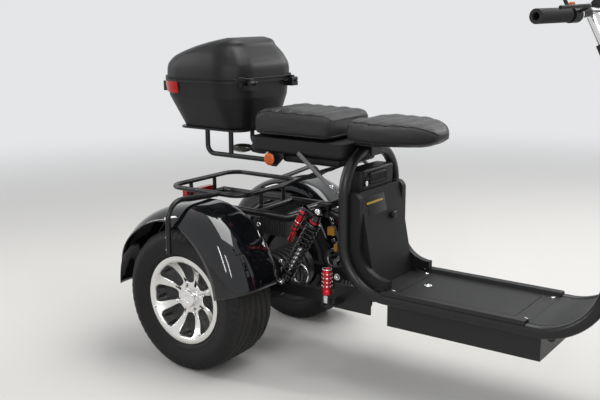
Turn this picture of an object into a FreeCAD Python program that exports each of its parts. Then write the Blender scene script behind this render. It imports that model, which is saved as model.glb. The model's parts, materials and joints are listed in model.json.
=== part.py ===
"""Electric cargo trike: two driven rear wheels, one steered front wheel.

Millimetres. +X points forwards, +Y to the rider's left and +Z up. Every piece is drawn with the rear
axle at X = 0 and the ground at Z = 0, and is then moved back by origin_ahead, so the model's origin
lies under the middle of the trike. Steered pieces are drawn along the steering axis and then leaned
back by the rake. Wheels are drawn round Z, with their outer face up, and then laid over.
"""
import FreeCAD, Part

import math
import os
from types import SimpleNamespace

import Sketcher
from FreeCAD import Placement, Rotation, Vector

doc = FreeCAD.newDocument("Trike")

DRIVING_SIZES = (
    # alias, value
    ("origin_ahead", 763.7),          # from the rear axle to the middle of the overall length
    ("wheelbase", 1590),
    ("wheel_half_track", 287.5),
    # wheels
    ("tyre_radius", 229.5),
    ("tyre_width", 200),
    ("tread_half_width", 78),
    ("tread_drop", 3),
    ("bead_radius", 127),
    ("flange_radius", 142),
    ("rim_half_width", 82),
    ("flange_thickness", 5.7),
    ("seat_clearance", 0.3),
    ("spoke_count", 8),
    ("hub_radius", 46),
    ("hub_face", 66),
    ("cap_radius", 27),
    ("cap_face", 88),
    ("hub_back", 96),
    ("stub_radius", 14),
    ("stub_length", 64),
    ("running_gap", 0.05),
    ("disc_radius", 96),
    ("disc_thickness", 4),
    ("disc_back", 90),
    # main loops, deck and fairing
    ("loop_radius", 17),
    ("loop_side", 148),
    ("loop_back", 455),
    ("loop_base", 290),
    ("loop_top", 702),
    ("arch_bend", 120),
    ("loop_lower_bend", 145),
    ("loop_front_bend", 180),
    ("loop_corner_behind", 42),       # the loops' front points, measured from the steering head
    ("loop_neck_behind", 20),
    ("loop_neck_below", 245),
    ("loop_head_behind", 76),
    ("loop_head_above", 26),
    ("loop_head_side", 44),
    ("deck_top", 303),
    ("deck_thickness", 4),
    ("deck_rear", 590),
    ("deck_tail", 530),
    ("deck_front_behind", 235),
    ("deck_lip_outer", 161),
    ("deck_lip_inner", 130),
    ("deck_lip_top", 314),
    ("deck_screw_inset", 13),
    ("deck_screw_side", 107),
    ("deck_screw_radius", 3),
    ("hatch_rear", 622),
    ("hatch_front_inset", 47),
    ("hatch_half_width", 100),
    ("hatch_gap", 1.5),
    ("hatch_thickness", 2.2),
    ("hatch_ledge", 8),
    ("box_rear", 586),
    ("box_overhang", 31),
    ("box_half_width", 110),
    ("box_bottom", 192),
    ("sheet_thickness", 3),
    ("fairing_half_width", 118),
    ("fairing_wall", 3),
    ("fairing_rear", 432),
    ("fairing_foot_x", 548),
    ("fairing_foot_depth", 30),
    ("fairing_top_x", 492),
    ("fairing_top_z", 590),
    ("shelf_level", 335),
    ("trim_width", 37),
    ("trim_depth", 22),
    ("trim_tuck", 5),
    ("trim_corner", 25),
    ("battery_half_width", 95),
    ("battery_rear", 420),
    ("battery_depth", 65),
    ("battery_top", 650),
    ("battery_corner", 14),
    ("grip_recess_depth", 22),
    ("lock_radius", 9),
    # seats, tray and top case
    ("tray_rear", 80),
    ("tray_front", 436),
    ("tray_half_width", 128),
    ("tray_bottom", 680),
    ("tray_top", 727),
    ("bench_rear", 90),
    ("bench_front", 374),
    ("seat_half_width", 134),
    ("bench_top", 818),
    ("saddle_rear", 382),
    ("saddle_front", 705),
    ("saddle_shoulder", 150),
    ("saddle_nose_half_width", 62),
    ("saddle_nose_radius", 66),
    ("saddle_bottom", 731),
    ("saddle_top", 808),
    ("bracket_front", 519),
    ("bracket_half_width", 62),
    ("bracket_thickness", 5),
    ("saddle_hinge_ahead", 5),
    ("saddle_hinge_drop", 6),
    ("saddle_barrel_radius", 4.5),
    ("saddle_pin_radius", 2),
    ("case_rear", -283),
    ("case_front", 73),
    ("case_half_width", 180),
    ("case_floor", 738),
    ("case_split", 898),
    ("case_roof", 1030),
    ("case_wall", 3.5),
    ("case_corner", 105),
    ("case_flange", 6),
    ("case_flange_height", 8),
    ("case_hinge_x", 86),
    ("case_hinge_drop", 6),
    ("case_hinge_side", 110),
    ("case_barrel_radius", 6.5),
    ("case_pin_radius", 2.5),
    ("plate_thickness", 6),
    ("carrier_radius", 8),
    ("carrier_side", 118),
    ("carrier_rear", -100),
    ("carrier_mid", 0),
    ("carrier_level", 655),
    # rear frame, rack, swing arm and shocks
    ("rear_rail_radius", 12.5),
    ("rear_rail_side", 112),
    ("rear_rail_level", 475),
    ("rear_rail_end", -233),
    ("lug_x", 165),
    ("lug_thickness", 5),
    ("strut_radius", 11),
    ("strut_top_x", 300),
    ("rack_radius", 8),
    ("rack_rear", -233),
    ("rack_front", 76),
    ("rack_half_width", 170),
    ("rack_level", 535),
    ("rack_bend", 50),
    ("rack_post_side", 62),
    ("arm_side", 112),
    ("arm_width", 28),
    ("arm_height", 36),
    ("pivot_x", 510),
    ("pivot_z", 248),
    ("pivot_radius", 15),
    ("pivot_bolt_radius", 6),
    ("axle_tube_radius", 30),
    ("axle_tube_half_length", 188),
    ("motor_radius", 74),
    ("motor_half_length", 80),
    ("motor_ahead", 118),
    ("motor_fin", 4),
    ("shock_side", 147),
    ("shock_top_x", 369),
    ("shock_top_z", 523),
    ("shock_low_x", 230),
    ("shock_low_z", 280),
    ("shock_body_radius", 13),
    ("shock_rod_radius", 6),
    ("shock_eye_radius", 13),
    ("shock_eye_width", 28),
    ("coil_radius", 20),
    ("coil_wire_radius", 3.6),
    ("coil_turns", 7),
    ("reservoir_radius", 11),
    # fenders
    ("fender_inner_side", -112),
    ("fender_outer_side", 112),
    ("fender_radius", 300),
    ("fender_wall", 3),
    ("fender_outer_round", 60),
    ("fender_inner_round", 36),
    ("fender_skirt", 205),
    ("fender_half_sweep", 83),
    ("fender_tilt", 7),
    ("hoop_side", 409),
    ("hoop_low_above_axle", 158.5),
    ("hoop_rise", 17),
    ("hoop_x", -12),
    # steering
    ("rake", 27),
    ("head_height", 800),
    ("fork_offset", 35),
    ("head_half_length", 75),
    ("head_radius", 27),
    ("stem_radius", 17),
    ("fork_side", 145),
    ("fork_outer_radius", 22),
    ("fork_inner_radius", 16),
    ("fork_outer_low", -330),
    ("fork_outer_top", 250),
    ("fork_lug_radius", 26),
    ("front_axle_radius", 8),
    ("clamp_thickness", 24),
    ("riser_radius", 16),
    ("riser_top", 330),
    ("bar_radius", 11),
    ("bar_bore_radius", 8),
    ("bar_bore_depth", 60),
    ("bar_half_length", 372),
    ("grip_radius", 17),
    ("grip_length", 128),
    ("headlamp_radius", 78),
    ("front_fender_radius", 262),
    ("front_fender_half_width", 105),
    # foot pegs
    ("peg_radius", 16),
    ("peg_length", 82),
    ("peg_x", 433),
    ("peg_side", 205),
    ("peg_z", 270),
)


class Size:
    """A length that carries its value together with the spreadsheet formula it comes from."""

    def __init__(self, value, formula):
        self.value = value
        self.formula = formula

    def __float__(self):
        return self.value

    def __neg__(self):
        return Size(-self.value, f"(-{self.formula})")

    def __add__(self, other):
        return Size(self.value + float(other), f"({self.formula} + {formula(other)})")

    def __sub__(self, other):
        return Size(self.value - float(other), f"({self.formula} - {formula(other)})")

    def __mul__(self, other):
        return Size(self.value * float(other), f"({self.formula} * {formula(other)})")

    def __truediv__(self, other):
        return Size(self.value / float(other), f"({self.formula} / {formula(other)})")

    def __radd__(self, other):
        return Size(other + self.value, f"({formula(other)} + {self.formula})")

    def __rsub__(self, other):
        return Size(other - self.value, f"({formula(other)} - {self.formula})")

    def __rmul__(self, other):
        return Size(other * self.value, f"({formula(other)} * {self.formula})")


def formula(size):
    return size.formula if isinstance(size, Size) else repr(float(size))


def fill_sheet():
    """Write the driving sizes into the spreadsheet and return them by name."""
    sheet = doc.addObject("Spreadsheet::Sheet", "Sizes")
    named = {}
    for row, (alias, value) in enumerate(DRIVING_SIZES, start=1):
        sheet.set(f"A{row}", alias.replace("_", " "))
        sheet.set(f"B{row}", str(value))
        sheet.setAlias(f"B{row}", alias)
        named[alias] = Size(float(value), f"Sizes.{alias}")
    doc.recompute()
    return SimpleNamespace(**named)


S = fill_sheet()
SIDES = (("right", -1), ("left", 1))

UPRIGHT = Rotation()
RIGHT_WHEEL = Rotation(Vector(1, 0, 0), 90)     # outer face to the right, X still forwards
LEFT_WHEEL = Rotation(Vector(0, 1, 1), 180)     # outer face to the left, X turned backwards
ALONG_Y = Rotation(Vector(1, 0, 0), -90)
ALONG_X = Rotation(Vector(0, 1, 0), 90)
LEANED = Rotation(Vector(0, 1, 0), -float(S.rake))

RAKE_SINE = math.sin(math.radians(float(S.rake)))
RAKE_COSINE = math.cos(math.radians(float(S.rake)))
HEAD_X = S.wheelbase - (S.head_height - S.tyre_radius) * (RAKE_SINE / RAKE_COSINE) - S.fork_offset / RAKE_COSINE
LOOP_CORNER = HEAD_X - S.loop_corner_behind
LOOP_NECK = (HEAD_X - S.loop_neck_behind, S.head_height - S.loop_neck_below)
LOOP_HEAD = (HEAD_X - S.loop_head_behind, S.head_height + S.loop_head_above)
DECK_FRONT = HEAD_X - S.deck_front_behind
HATCH_FRONT = DECK_FRONT - S.hatch_front_inset
BOX_FRONT = DECK_FRONT + S.box_overhang
FRONT_AXLE_DROP = -((S.head_height - S.tyre_radius) / RAKE_COSINE + S.fork_offset * (RAKE_SINE / RAKE_COSINE))

nodes = []


# ---------------------------------------------------------------- parametric helpers

def bind(item, **sizes):
    """Bind each property to its formula; a double underscore in the name stands for a dot."""
    for name, size in sizes.items():
        item.setExpression(name.replace("__", "."), formula(size))


def put(item, x=0, y=0, z=0, turn=UPRIGHT):
    item.Placement = Placement(Vector(float(x), float(y), float(z)), turn)
    bind(item, Placement__Base__x=x, Placement__Base__y=y, Placement__Base__z=z)
    return item


def node(item, label, x=0, y=0, z=0, turn=UPRIGHT):
    """Name a finished sub-part and place it from the model's origin."""
    if item.TypeId in ("Part::Box", "Part::Cylinder"):
        item = together(label + "_alone", item)
    item.Label = label
    put(item, x - S.origin_ahead, y, z, turn)
    nodes.append(item)
    return item


def steered(item, label):
    return node(item, label, HEAD_X, 0, S.head_height, LEANED)


def box(name, low, high):
    """A block between two corners, each a triple of sizes."""
    block = doc.addObject("Part::Box", name)
    bind(block, Length=high[0] - low[0], Width=high[1] - low[1], Height=high[2] - low[2])
    return put(block, *low)


def cylinder(name, radius, length, x=0, y=0, z=0, turn=UPRIGHT):
    rod = doc.addObject("Part::Cylinder", name)
    bind(rod, Radius=radius, Height=length)
    return put(rod, x, y, z, turn)


def fused(name, *items):
    union = doc.addObject("Part::MultiFuse", name)
    union.Shapes = list(items)
    union.Refine = True
    return union


def together(name, *items):
    """Like pieces that don't touch, kept as separate solids of one node."""
    group = doc.addObject("Part::Compound", name)
    group.Links = list(items)
    return group


def without(name, base, tool):
    cut = doc.addObject("Part::Cut", name)
    cut.Base = base
    cut.Tool = tool
    return cut


def shaped(name, shape):
    """A sub-part from a finished shape, wrapped so that the shape keeps its own place."""
    feature = doc.addObject("Part::Feature", name)
    feature.Shape = Part.makeCompound([shape])
    return feature


def origin_plane(body, role):
    return next(plane for plane in body.Origin.OriginFeatures if plane.Role == role)


def new_body(name):
    return doc.addObject("PartDesign::Body", name)


def attach(body, sketch, role, lift=0):
    sketch.AttachmentSupport = [(origin_plane(body, role), "")]
    sketch.MapMode = "FlatFace"
    bind(sketch, AttachmentOffset__Base__z=lift)


def arc_centre(start, end, radius):
    """Centre of the arc from start to end; a positive radius bulges to the right of the way along."""
    middle = (start + end) / 2
    chord = end - start
    reach = math.sqrt(max(radius * radius - chord.Length ** 2 / 4, 0.0))
    left = Vector(-chord.y, chord.x, 0).normalize()
    return middle + left * (reach if radius > 0 else -reach)


def outline(body, name, role, corners, lift=0):
    """A closed sketch through corners (x, y) or (x, y, radius of the edge that leaves the corner)."""
    sketch = body.newObject("Sketcher::SketchObject", name)
    attach(body, sketch, role, lift)
    points = [Vector(float(corner[0]), float(corner[1]), 0) for corner in corners]
    ends = []
    for index, corner in enumerate(corners):
        start, end = points[index], points[(index + 1) % len(points)]
        if len(corner) == 2:
            edge = sketch.addGeometry(Part.LineSegment(start, end))
            ends.append((edge, 1, 2))
            continue
        radius = float(corner[2])
        centre = arc_centre(start, end, radius)
        first, last = (start, end) if radius > 0 else (end, start)
        angles = [math.atan2(point.y - centre.y, point.x - centre.x) for point in (first, last)]
        circle = Part.Circle(centre, Vector(0, 0, 1), abs(radius))
        edge = sketch.addGeometry(Part.ArcOfCircle(circle, *angles))
        ends.append((edge, 1, 2) if radius > 0 else (edge, 2, 1))
        fixed = sketch.addConstraint(Sketcher.Constraint("Radius", edge, abs(radius)))
        sketch.setExpression(f"Constraints[{fixed}]", formula(corner[2] if radius > 0 else -corner[2]))
    for index, (edge, start, end) in enumerate(ends):
        following = ends[(index + 1) % len(ends)]
        sketch.addConstraint(Sketcher.Constraint("Coincident", edge, end, following[0], following[1]))
        for kind, size, value in (("DistanceX", corners[index][0], points[index].x),
                                  ("DistanceY", corners[index][1], points[index].y)):
            fixed = sketch.addConstraint(Sketcher.Constraint(kind, -1, 1, edge, start, value))
            sketch.setExpression(f"Constraints[{fixed}]", formula(size))
    return sketch


def circles(body, name, role, centres, radius, lift=0):
    """A sketch of equal circles."""
    sketch = body.newObject("Sketcher::SketchObject", name)
    attach(body, sketch, role, lift)
    for x, y in centres:
        middle = Vector(float(x), float(y), 0)
        edge = sketch.addGeometry(Part.Circle(middle, Vector(0, 0, 1), float(radius)))
        for kind, size, value in (("DistanceX", x, middle.x), ("DistanceY", y, middle.y)):
            fixed = sketch.addConstraint(Sketcher.Constraint(kind, -1, 1, edge, 3, value))
            sketch.setExpression(f"Constraints[{fixed}]", formula(size))
        fixed = sketch.addConstraint(Sketcher.Constraint("Radius", edge, float(radius)))
        sketch.setExpression(f"Constraints[{fixed}]", formula(radius))
    return sketch


def pad(body, sketch, length, centred=False, backwards=False):
    feature = body.newObject("PartDesign::Pad", sketch.Name + "_pad")
    feature.Profile = sketch
    feature.Midplane = centred
    feature.Reversed = backwards
    bind(feature, Length=length)
    return feature


def pocket(body, sketch, length, centred=False, backwards=False):
    feature = body.newObject("PartDesign::Pocket", sketch.Name + "_pocket")
    feature.Profile = sketch
    feature.Midplane = centred
    feature.Reversed = backwards
    bind(feature, Length=length)
    return feature


def revolve(body, sketch, angle=360, centred=False):
    feature = body.newObject("PartDesign::Revolution", sketch.Name + "_turn")
    feature.Profile = sketch
    feature.ReferenceAxis = (sketch, ["V_Axis"])
    feature.Midplane = centred
    bind(feature, Angle=angle)
    return feature


def polar(body, feature, count):
    pattern = body.newObject("PartDesign::PolarPattern", feature.Name + "_ring")
    pattern.Originals = [feature]
    pattern.Axis = (feature.Profile[0], ["N_Axis"])
    pattern.Angle = 360
    bind(pattern, Occurrences=count)
    body.Tip = pattern
    return pattern


def round_edges(body, feature, radius, chosen):
    """Fillet the edges of a feature that the test picks out."""
    doc.recompute()
    names = [f"Edge{index + 1}" for index, edge in enumerate(feature.Shape.Edges) if chosen(edge)]
    fillet = body.newObject("PartDesign::Fillet", feature.Name + "_round")
    fillet.Base = (feature, names)
    bind(fillet, Radius=radius)
    return fillet


def runs_along(edge, direction):
    """True for a straight edge that is parallel to the direction."""
    if not isinstance(edge.Curve, Part.Line):
        return False
    return abs(abs(edge.Curve.Direction.dot(direction)) - 1) < 1e-6


# ---------------------------------------------------------------- bent tubes

def bent_path(points, bends):
    """Straight runs joined by tangent arcs; one bend radius for each inner point."""
    corners = [Vector(*(float(value) for value in point)) for point in points]
    edges = []
    start = corners[0]
    for index in range(1, len(corners) - 1):
        corner = corners[index]
        back = (corners[index - 1] - corner).normalize()
        ahead = (corners[index + 1] - corner).normalize()
        turn = math.pi - back.getAngle(ahead)
        reach = float(bends[index - 1]) * math.tan(turn / 2)
        enter, leave = corner + back * reach, corner + ahead * reach
        bisector = (back + ahead).normalize()
        centre = corner + bisector * (float(bends[index - 1]) / math.cos(turn / 2))
        middle = centre - bisector * float(bends[index - 1])
        if (enter - start).Length > 1e-6:
            edges.append(Part.LineSegment(start, enter).toShape())
        edges.append(Part.Arc(enter, middle, leave).toShape())
        start = leave
    edges.append(Part.LineSegment(start, corners[-1]).toShape())
    return Part.Wire(edges)


def carried(path, section):
    """A solid swept along a path of lines and arcs; section gives its face from a point and a heading."""
    runs = []
    for edge in path.Edges:
        start, heading = edge.valueAt(edge.FirstParameter), edge.tangentAt(edge.FirstParameter)
        if isinstance(edge.Curve, Part.Line):
            runs.append(section(start, heading).extrude(heading * edge.Length))
        else:
            centre = edge.Curve.Center
            turn = math.degrees(edge.Length / edge.Curve.Radius)
            runs.append(section(start, heading).revolve(centre, (start - centre).cross(heading), turn))
    return runs[0].multiFuse(runs[1:]) if runs[1:] else runs[0]


def tube(points, bends, radius):
    """A bent round rod."""
    def disc(start, heading):
        return Part.Face(Part.Wire(Part.makeCircle(float(radius), start, heading)))
    return carried(bent_path(points, bends), disc)


def across(radius, x, z, low, high):
    """A rod along Y from low to high."""
    return Part.makeCylinder(float(radius), high - low, Vector(x, low, z), Vector(0, 1, 0))


def moved(shape, place):
    """A copy of the shape carried along by a placement."""
    copy = shape.copy()
    copy.Placement = place.multiply(shape.Placement)
    return copy


# ---------------------------------------------------------------- wheels

def wheel_rim(name, driven):
    """A cast rim round Z with its outer face up; a driven one has a cap and a stub shaft."""
    body = new_body(name)
    gap = S.flange_thickness
    barrel = S.bead_radius - S.seat_clearance
    inside = barrel - 6
    bore = S.front_axle_radius + S.running_gap
    outer_face = [
        (S.hub_radius, S.hub_face),
        (inside - 8, S.hub_face - 12),
        (inside - 2, S.hub_face - 8),
        (inside, S.rim_half_width - 3),
        (inside + 5, S.rim_half_width),
        (S.flange_radius, S.rim_half_width),
        (S.flange_radius, S.rim_half_width - gap),
        (barrel, S.rim_half_width - gap),
        (barrel, -(S.rim_half_width - gap)),
        (S.flange_radius, -(S.rim_half_width - gap)),
        (S.flange_radius, -S.rim_half_width),
        (inside, -S.rim_half_width),
        (inside, S.hub_face - 30),
        (inside - 8, S.hub_face - 36),
        (S.hub_radius, S.hub_face - 30),
        (S.hub_radius, S.disc_thickness - S.disc_back),
        (S.disc_radius, S.disc_thickness - S.disc_back),
        (S.disc_radius, -S.disc_back),
        (S.hub_radius, -S.disc_back),
        (S.hub_radius, -S.hub_back),
    ]
    if driven:
        section = [(0, -S.hub_back - S.stub_length), (0, S.cap_face), (S.cap_radius, S.cap_face),
                   (S.cap_radius + 3, S.hub_face + 2)] + outer_face
        section += [(S.stub_radius, -S.hub_back), (S.stub_radius, -S.hub_back - S.stub_length)]
    else:
        section = [(bore, -S.hub_back), (bore, S.hub_face + 12), (S.cap_radius, S.hub_face + 12),
                   (S.cap_radius + 3, S.hub_face + 2)] + outer_face
    section.reverse()
    revolve(body, outline(body, name + "_section", "XZ_Plane", section))
    opening = [
        (64, -10, -10.5), (64, 10), (106, 23, -9), (114, 15, -118), (114, -15, -9), (106, -23),
    ]
    windows = outline(body, name + "_window", "XY_Plane", opening, lift=S.hub_face - 50)
    hole = pocket(body, windows, 70, backwards=True)
    polar(body, hole, S.spoke_count)
    ring = (S.hub_radius + S.cap_radius + 4) / 2
    lugs = circles(body, name + "_lugs", "XY_Plane", [(ring, 0), (0, ring), (-ring, 0), (0, -ring)], 6.5,
                   lift=S.hub_face - 12)
    pocket(body, lugs, 30, backwards=True)
    return body


def wheel_tyre(name):
    """A low-profile road tyre that fills its rim; the cavity is closed, so it is solid."""
    body = new_body(name)
    seat = S.rim_half_width - S.flange_thickness - S.seat_clearance
    side = S.tyre_width / 2
    shoulder = S.tyre_radius - 12
    crown = (S.tread_half_width * S.tread_half_width / S.tread_drop + S.tread_drop) / 2
    section = [
        (S.bead_radius, -seat),
        (S.flange_radius + 1, -seat),
        (S.flange_radius + 6, -(S.rim_half_width + 2), 60),
        (shoulder - 22, -side, 46),
        (shoulder, -(S.tread_half_width + 10), 14),
        (S.tyre_radius - S.tread_drop, -S.tread_half_width, crown),
        (S.tyre_radius - S.tread_drop, S.tread_half_width, 14),
        (shoulder, S.tread_half_width + 10, 46),
        (shoulder - 22, side, 60),
        (S.flange_radius + 6, S.rim_half_width + 2),
        (S.flange_radius + 1, seat),
        (S.bead_radius, seat),
    ]
    revolve(body, outline(body, name + "_section", "XZ_Plane", section))
    return body


def make_wheels():
    places = (("rear", side, 0, sign * S.wheel_half_track) for side, sign in SIDES)
    for end, side, x, y in places:
        turn = RIGHT_WHEEL if side == "right" else LEFT_WHEEL
        node(wheel_rim(f"{end}_rim_{side}_body", True), f"{end}_rim_{side}", x, y, S.tyre_radius, turn)
        node(wheel_tyre(f"{end}_tyre_{side}_body"), f"{end}_tyre_{side}", x, y, S.tyre_radius, turn)
    node(wheel_rim("front_rim_body", False), "front_rim", S.wheelbase, 0, S.tyre_radius, RIGHT_WHEEL)
    node(wheel_tyre("front_tyre_body"), "front_tyre", S.wheelbase, 0, S.tyre_radius, RIGHT_WHEEL)


# ---------------------------------------------------------------- main frame

def loop_points(sign):
    side = sign * S.loop_side
    return [
        (S.loop_back, 0, S.loop_top),
        (S.loop_back, side, S.loop_top),
        (S.loop_back, side, S.loop_base),
        (LOOP_CORNER, side, S.loop_base),
        (LOOP_NECK[0], side, LOOP_NECK[1]),
        (LOOP_HEAD[0], sign * S.loop_head_side, LOOP_HEAD[1]),
    ]


def make_loops():
    bends = (S.arch_bend, S.loop_lower_bend, S.loop_front_bend, 110)
    return [tube(loop_points(sign), bends, S.loop_radius) for _, sign in SIDES]


LOOPS = make_loops()
BOTH_LOOPS = LOOPS[0].fuse(LOOPS[1])


def make_main_frame():
    """Two bent loops that meet in an arch under the seat, their cross tubes and the steering head."""
    for (side, _), loop in zip(SIDES, LOOPS):
        node(shaped(f"loop_{side}", loop), f"main_loop_{side}")

    span = float(S.loop_side)
    ties = []
    front_tie = float(DECK_FRONT) + 70
    for x, z, radius in ((560, 285.5, 13), (front_tie, 283, 13)):
        tie = Part.makeCylinder(radius, 2 * span, Vector(x, -span, z), Vector(0, 1, 0)).cut(BOTH_LOOPS)
        ties += tie.Solids
    node(shaped("ties", Part.makeCompound(ties)), "cross_tubes")

    half = float(S.head_half_length)
    head = Part.makeCylinder(float(S.head_radius), 2 * half, Vector(0, 0, -half))
    bore = Part.makeCylinder(float(S.stem_radius + S.running_gap), 4 * half, Vector(0, 0, -2 * half))
    lean = Placement(Vector(float(HEAD_X), 0, float(S.head_height)), LEANED)
    head, bore = moved(head, lean), moved(bore, lean)
    x, side, z = float(LOOP_HEAD[0]), float(S.loop_head_side), float(LOOP_HEAD[1])
    shelf = Part.makeBox(60, 2 * side, 12, Vector(x + 4, -side, z - 32))
    spine = Part.makeBox(70, 12, 110, Vector(x, -6, z - 118))
    cross = Part.makeCylinder(14, 2 * side, Vector(x + 4, -side, z - 26), Vector(0, 1, 0))
    node(shaped("head", head.multiFuse([shelf, spine, cross]).cut(BOTH_LOOPS).cut(bore)), "steering_head")

    # the flange between each loop and the fairing follows the loop round inside it
    inset = float(S.loop_radius) - float(S.trim_tuck) + float(S.trim_width) / 2
    back, base, top = float(S.loop_back), float(S.loop_base), float(S.fairing_top_z)
    end = back + float(S.loop_lower_bend) + 4
    wide, deep = float(S.trim_width) / 2, Vector(0, float(S.trim_depth) / 2, 0)

    def flange_section(start, heading):
        rise = heading.cross(Vector(0, 1, 0)) * wide
        corners = [start - deep - rise, start + deep - rise, start + deep + rise, start - deep + rise]
        return Part.Face(Part.makePolygon(corners + corners[:1]))

    flanges = []
    for _, sign in SIDES:
        y = sign * (float(S.fairing_half_width) + 0.3 + float(S.trim_depth) / 2)
        path = bent_path([(back + inset, y, top), (back + inset, y, base + inset), (end, y, base + inset)],
                         (float(S.loop_lower_bend) - inset,))
        flange = carried(path, flange_section)
        floor = Part.makeBox(400, 400, 60, Vector(400, -200, float(S.deck_lip_top) - 59.7))
        round_off = float(S.trim_corner)
        centre = Vector(back + inset + wide - round_off, y - 30, top - round_off)
        corner = Part.makeBox(round_off, 60, round_off, centre)
        corner = corner.cut(Part.makeCylinder(round_off, 60, centre, Vector(0, 1, 0)))
        flange = flange.cut(BOTH_LOOPS).cut(floor).cut(corner)
        flanges.append(max(flange.Solids, key=lambda solid: solid.Volume))
    node(shaped("flanges", Part.makeCompound(flanges)), "loop_trims")


def make_rear_frame():
    """Side rails that run back from the loops, their cross tubes, the shock mounts and the seat struts."""
    side, span = float(S.rear_rail_side), float(S.loop_side)
    level, upper = float(S.rear_rail_level), float(S.rear_rail_level) + 40
    radius = float(S.rear_rail_radius)
    back = float(S.loop_back)
    solids = []
    for _, sign in SIDES:
        y = sign * side
        solids.append(tube([(back, sign * span, upper), (back - 80, y, upper), (330, y, upper), (230, y, level),
                            (float(S.rear_rail_end), y, level)], (80, 80, 80), radius))
        outer = sign * (float(S.shock_side) - float(S.shock_eye_width) / 2 - 0.3)
        solids.append(Part.makeBox(40, abs(outer - y), 40, Vector(float(S.shock_top_x) - 20, min(outer, y),
                                                                  float(S.shock_top_z) - 20)))
    for x in (float(S.rear_rail_end), float(S.rack_front), 200):
        solids.append(across(radius - 1, x, level, -side, side))
    solids.append(across(radius + 1, back - 55, upper, -side - 4, side + 4))
    frame = solids[0].multiFuse(solids[1:]).cut(BOTH_LOOPS)
    node(shaped("rear_frame_shape", max(frame.Solids, key=lambda solid: solid.Volume)), "rear_frame")

    struts = []
    bottom = float(S.tray_bottom)
    for _, sign in SIDES:
        y = sign * 130.0
        foot = Vector(back + 4, y, 560)
        reach = Vector(float(S.strut_top_x), y, bottom) - foot
        strut = Part.makeCylinder(float(S.strut_radius), reach.Length + 30, foot, reach)
        ceiling = Part.makeBox(400, 60, 60, Vector(200, y - 30, bottom))
        strut = strut.cut(ceiling).cut(BOTH_LOOPS)
        struts.append(max(strut.Solids, key=lambda solid: solid.Volume))
    node(shaped("struts", Part.makeCompound(struts)), "seat_struts")


# ---------------------------------------------------------------- deck

def make_deck():
    """Moulded floor with lips over the loops, its hatch, the front riser and the box below."""
    body = new_body("deck")
    under = S.deck_top - S.deck_thickness
    lip = S.deck_lip_top
    half = [
        (S.deck_lip_inner - 6, S.deck_top),
        (S.deck_lip_inner, lip),
        (S.deck_lip_outer - 6, lip),
        (S.deck_lip_outer, lip - 8),
        (S.deck_lip_outer, S.loop_base + 2),
        (S.loop_side, S.loop_base + 2),
        (S.loop_side - S.loop_radius, under),
    ]
    corners = [(y, z) for y, z in half] + [(-y, z) for y, z in reversed(half)]
    corners.reverse()
    floor = outline(body, "deck_section", "YZ_Plane", corners, lift=S.deck_rear)
    pad(body, floor, DECK_FRONT - S.deck_rear)
    edge = S.deck_lip_inner - 6
    tongue = outline(body, "deck_tongue", "XY_Plane",
                     [(S.deck_tail, -edge), (S.deck_rear + 1, -edge), (S.deck_rear + 1, edge),
                      (S.deck_tail, edge)], lift=under)
    pad(body, tongue, S.deck_thickness)
    grooves = circles(body, "deck_grooves", "YZ_Plane",
                      [(sign * S.loop_side, S.loop_base) for _, sign in SIDES],
                      S.loop_radius + S.seat_clearance, lift=S.deck_rear - 5)
    pocket(body, grooves, DECK_FRONT - S.deck_rear + 10, backwards=True)
    wide = S.hatch_half_width + S.hatch_gap
    rear, front = S.hatch_rear - S.hatch_gap, HATCH_FRONT + S.hatch_gap
    recess = outline(body, "deck_recess", "XY_Plane",
                     [(rear, -wide), (front, -wide), (front, wide), (rear, wide)], lift=S.deck_top + 5)
    pocket(body, recess, 5 + S.hatch_thickness + S.seat_clearance)
    ledge, narrow, hinge = rear + S.hatch_ledge, wide - S.hatch_ledge, front - 16
    window = outline(body, "deck_window", "XY_Plane",
                     [(ledge, -narrow), (hinge, -narrow), (hinge, -wide), (front, -wide),
                      (front, wide), (hinge, wide), (hinge, narrow), (ledge, narrow)], lift=S.deck_top + 5)
    pocket(body, window, 20)
    screws = circles(body, "deck_screws", "XY_Plane",
                     [(x, sign * S.deck_screw_side) for x in (S.deck_rear + S.deck_screw_inset,
                                                              DECK_FRONT - S.deck_screw_inset - 3)
                      for _, sign in SIDES], S.deck_screw_radius, lift=S.deck_top + 5)
    pocket(body, screws, 20)
    node(body, "deck_panel")

    lid = new_body("hatch")
    slab = outline(lid, "hatch_outline", "XY_Plane",
                   [(S.hatch_rear, -S.hatch_half_width), (HATCH_FRONT, -S.hatch_half_width),
                    (HATCH_FRONT, S.hatch_half_width), (S.hatch_rear, S.hatch_half_width)],
                   lift=S.deck_top - S.hatch_thickness)
    top = pad(lid, slab, S.hatch_thickness)
    round_edges(lid, top, 6, lambda edge: runs_along(edge, Vector(0, 0, 1)))
    node(lid, "deck_hatch")

    tub = without("box_tub",
                  box("box_outer", (S.box_rear, -S.box_half_width, S.box_bottom),
                      (BOX_FRONT, S.box_half_width, under)),
                  box("box_inner", (S.box_rear + S.sheet_thickness, S.sheet_thickness - S.box_half_width,
                                    S.box_bottom + S.sheet_thickness),
                      (BOX_FRONT - S.sheet_thickness, S.box_half_width - S.sheet_thickness, under + 10)))
    cleared = without("box_cleared", tub,
                      box("box_notch", (DECK_FRONT, -S.box_half_width - 5, under - 25),
                          (BOX_FRONT + 5, S.box_half_width + 5, under + 5)))
    node(cleared, "battery_box")


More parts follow.
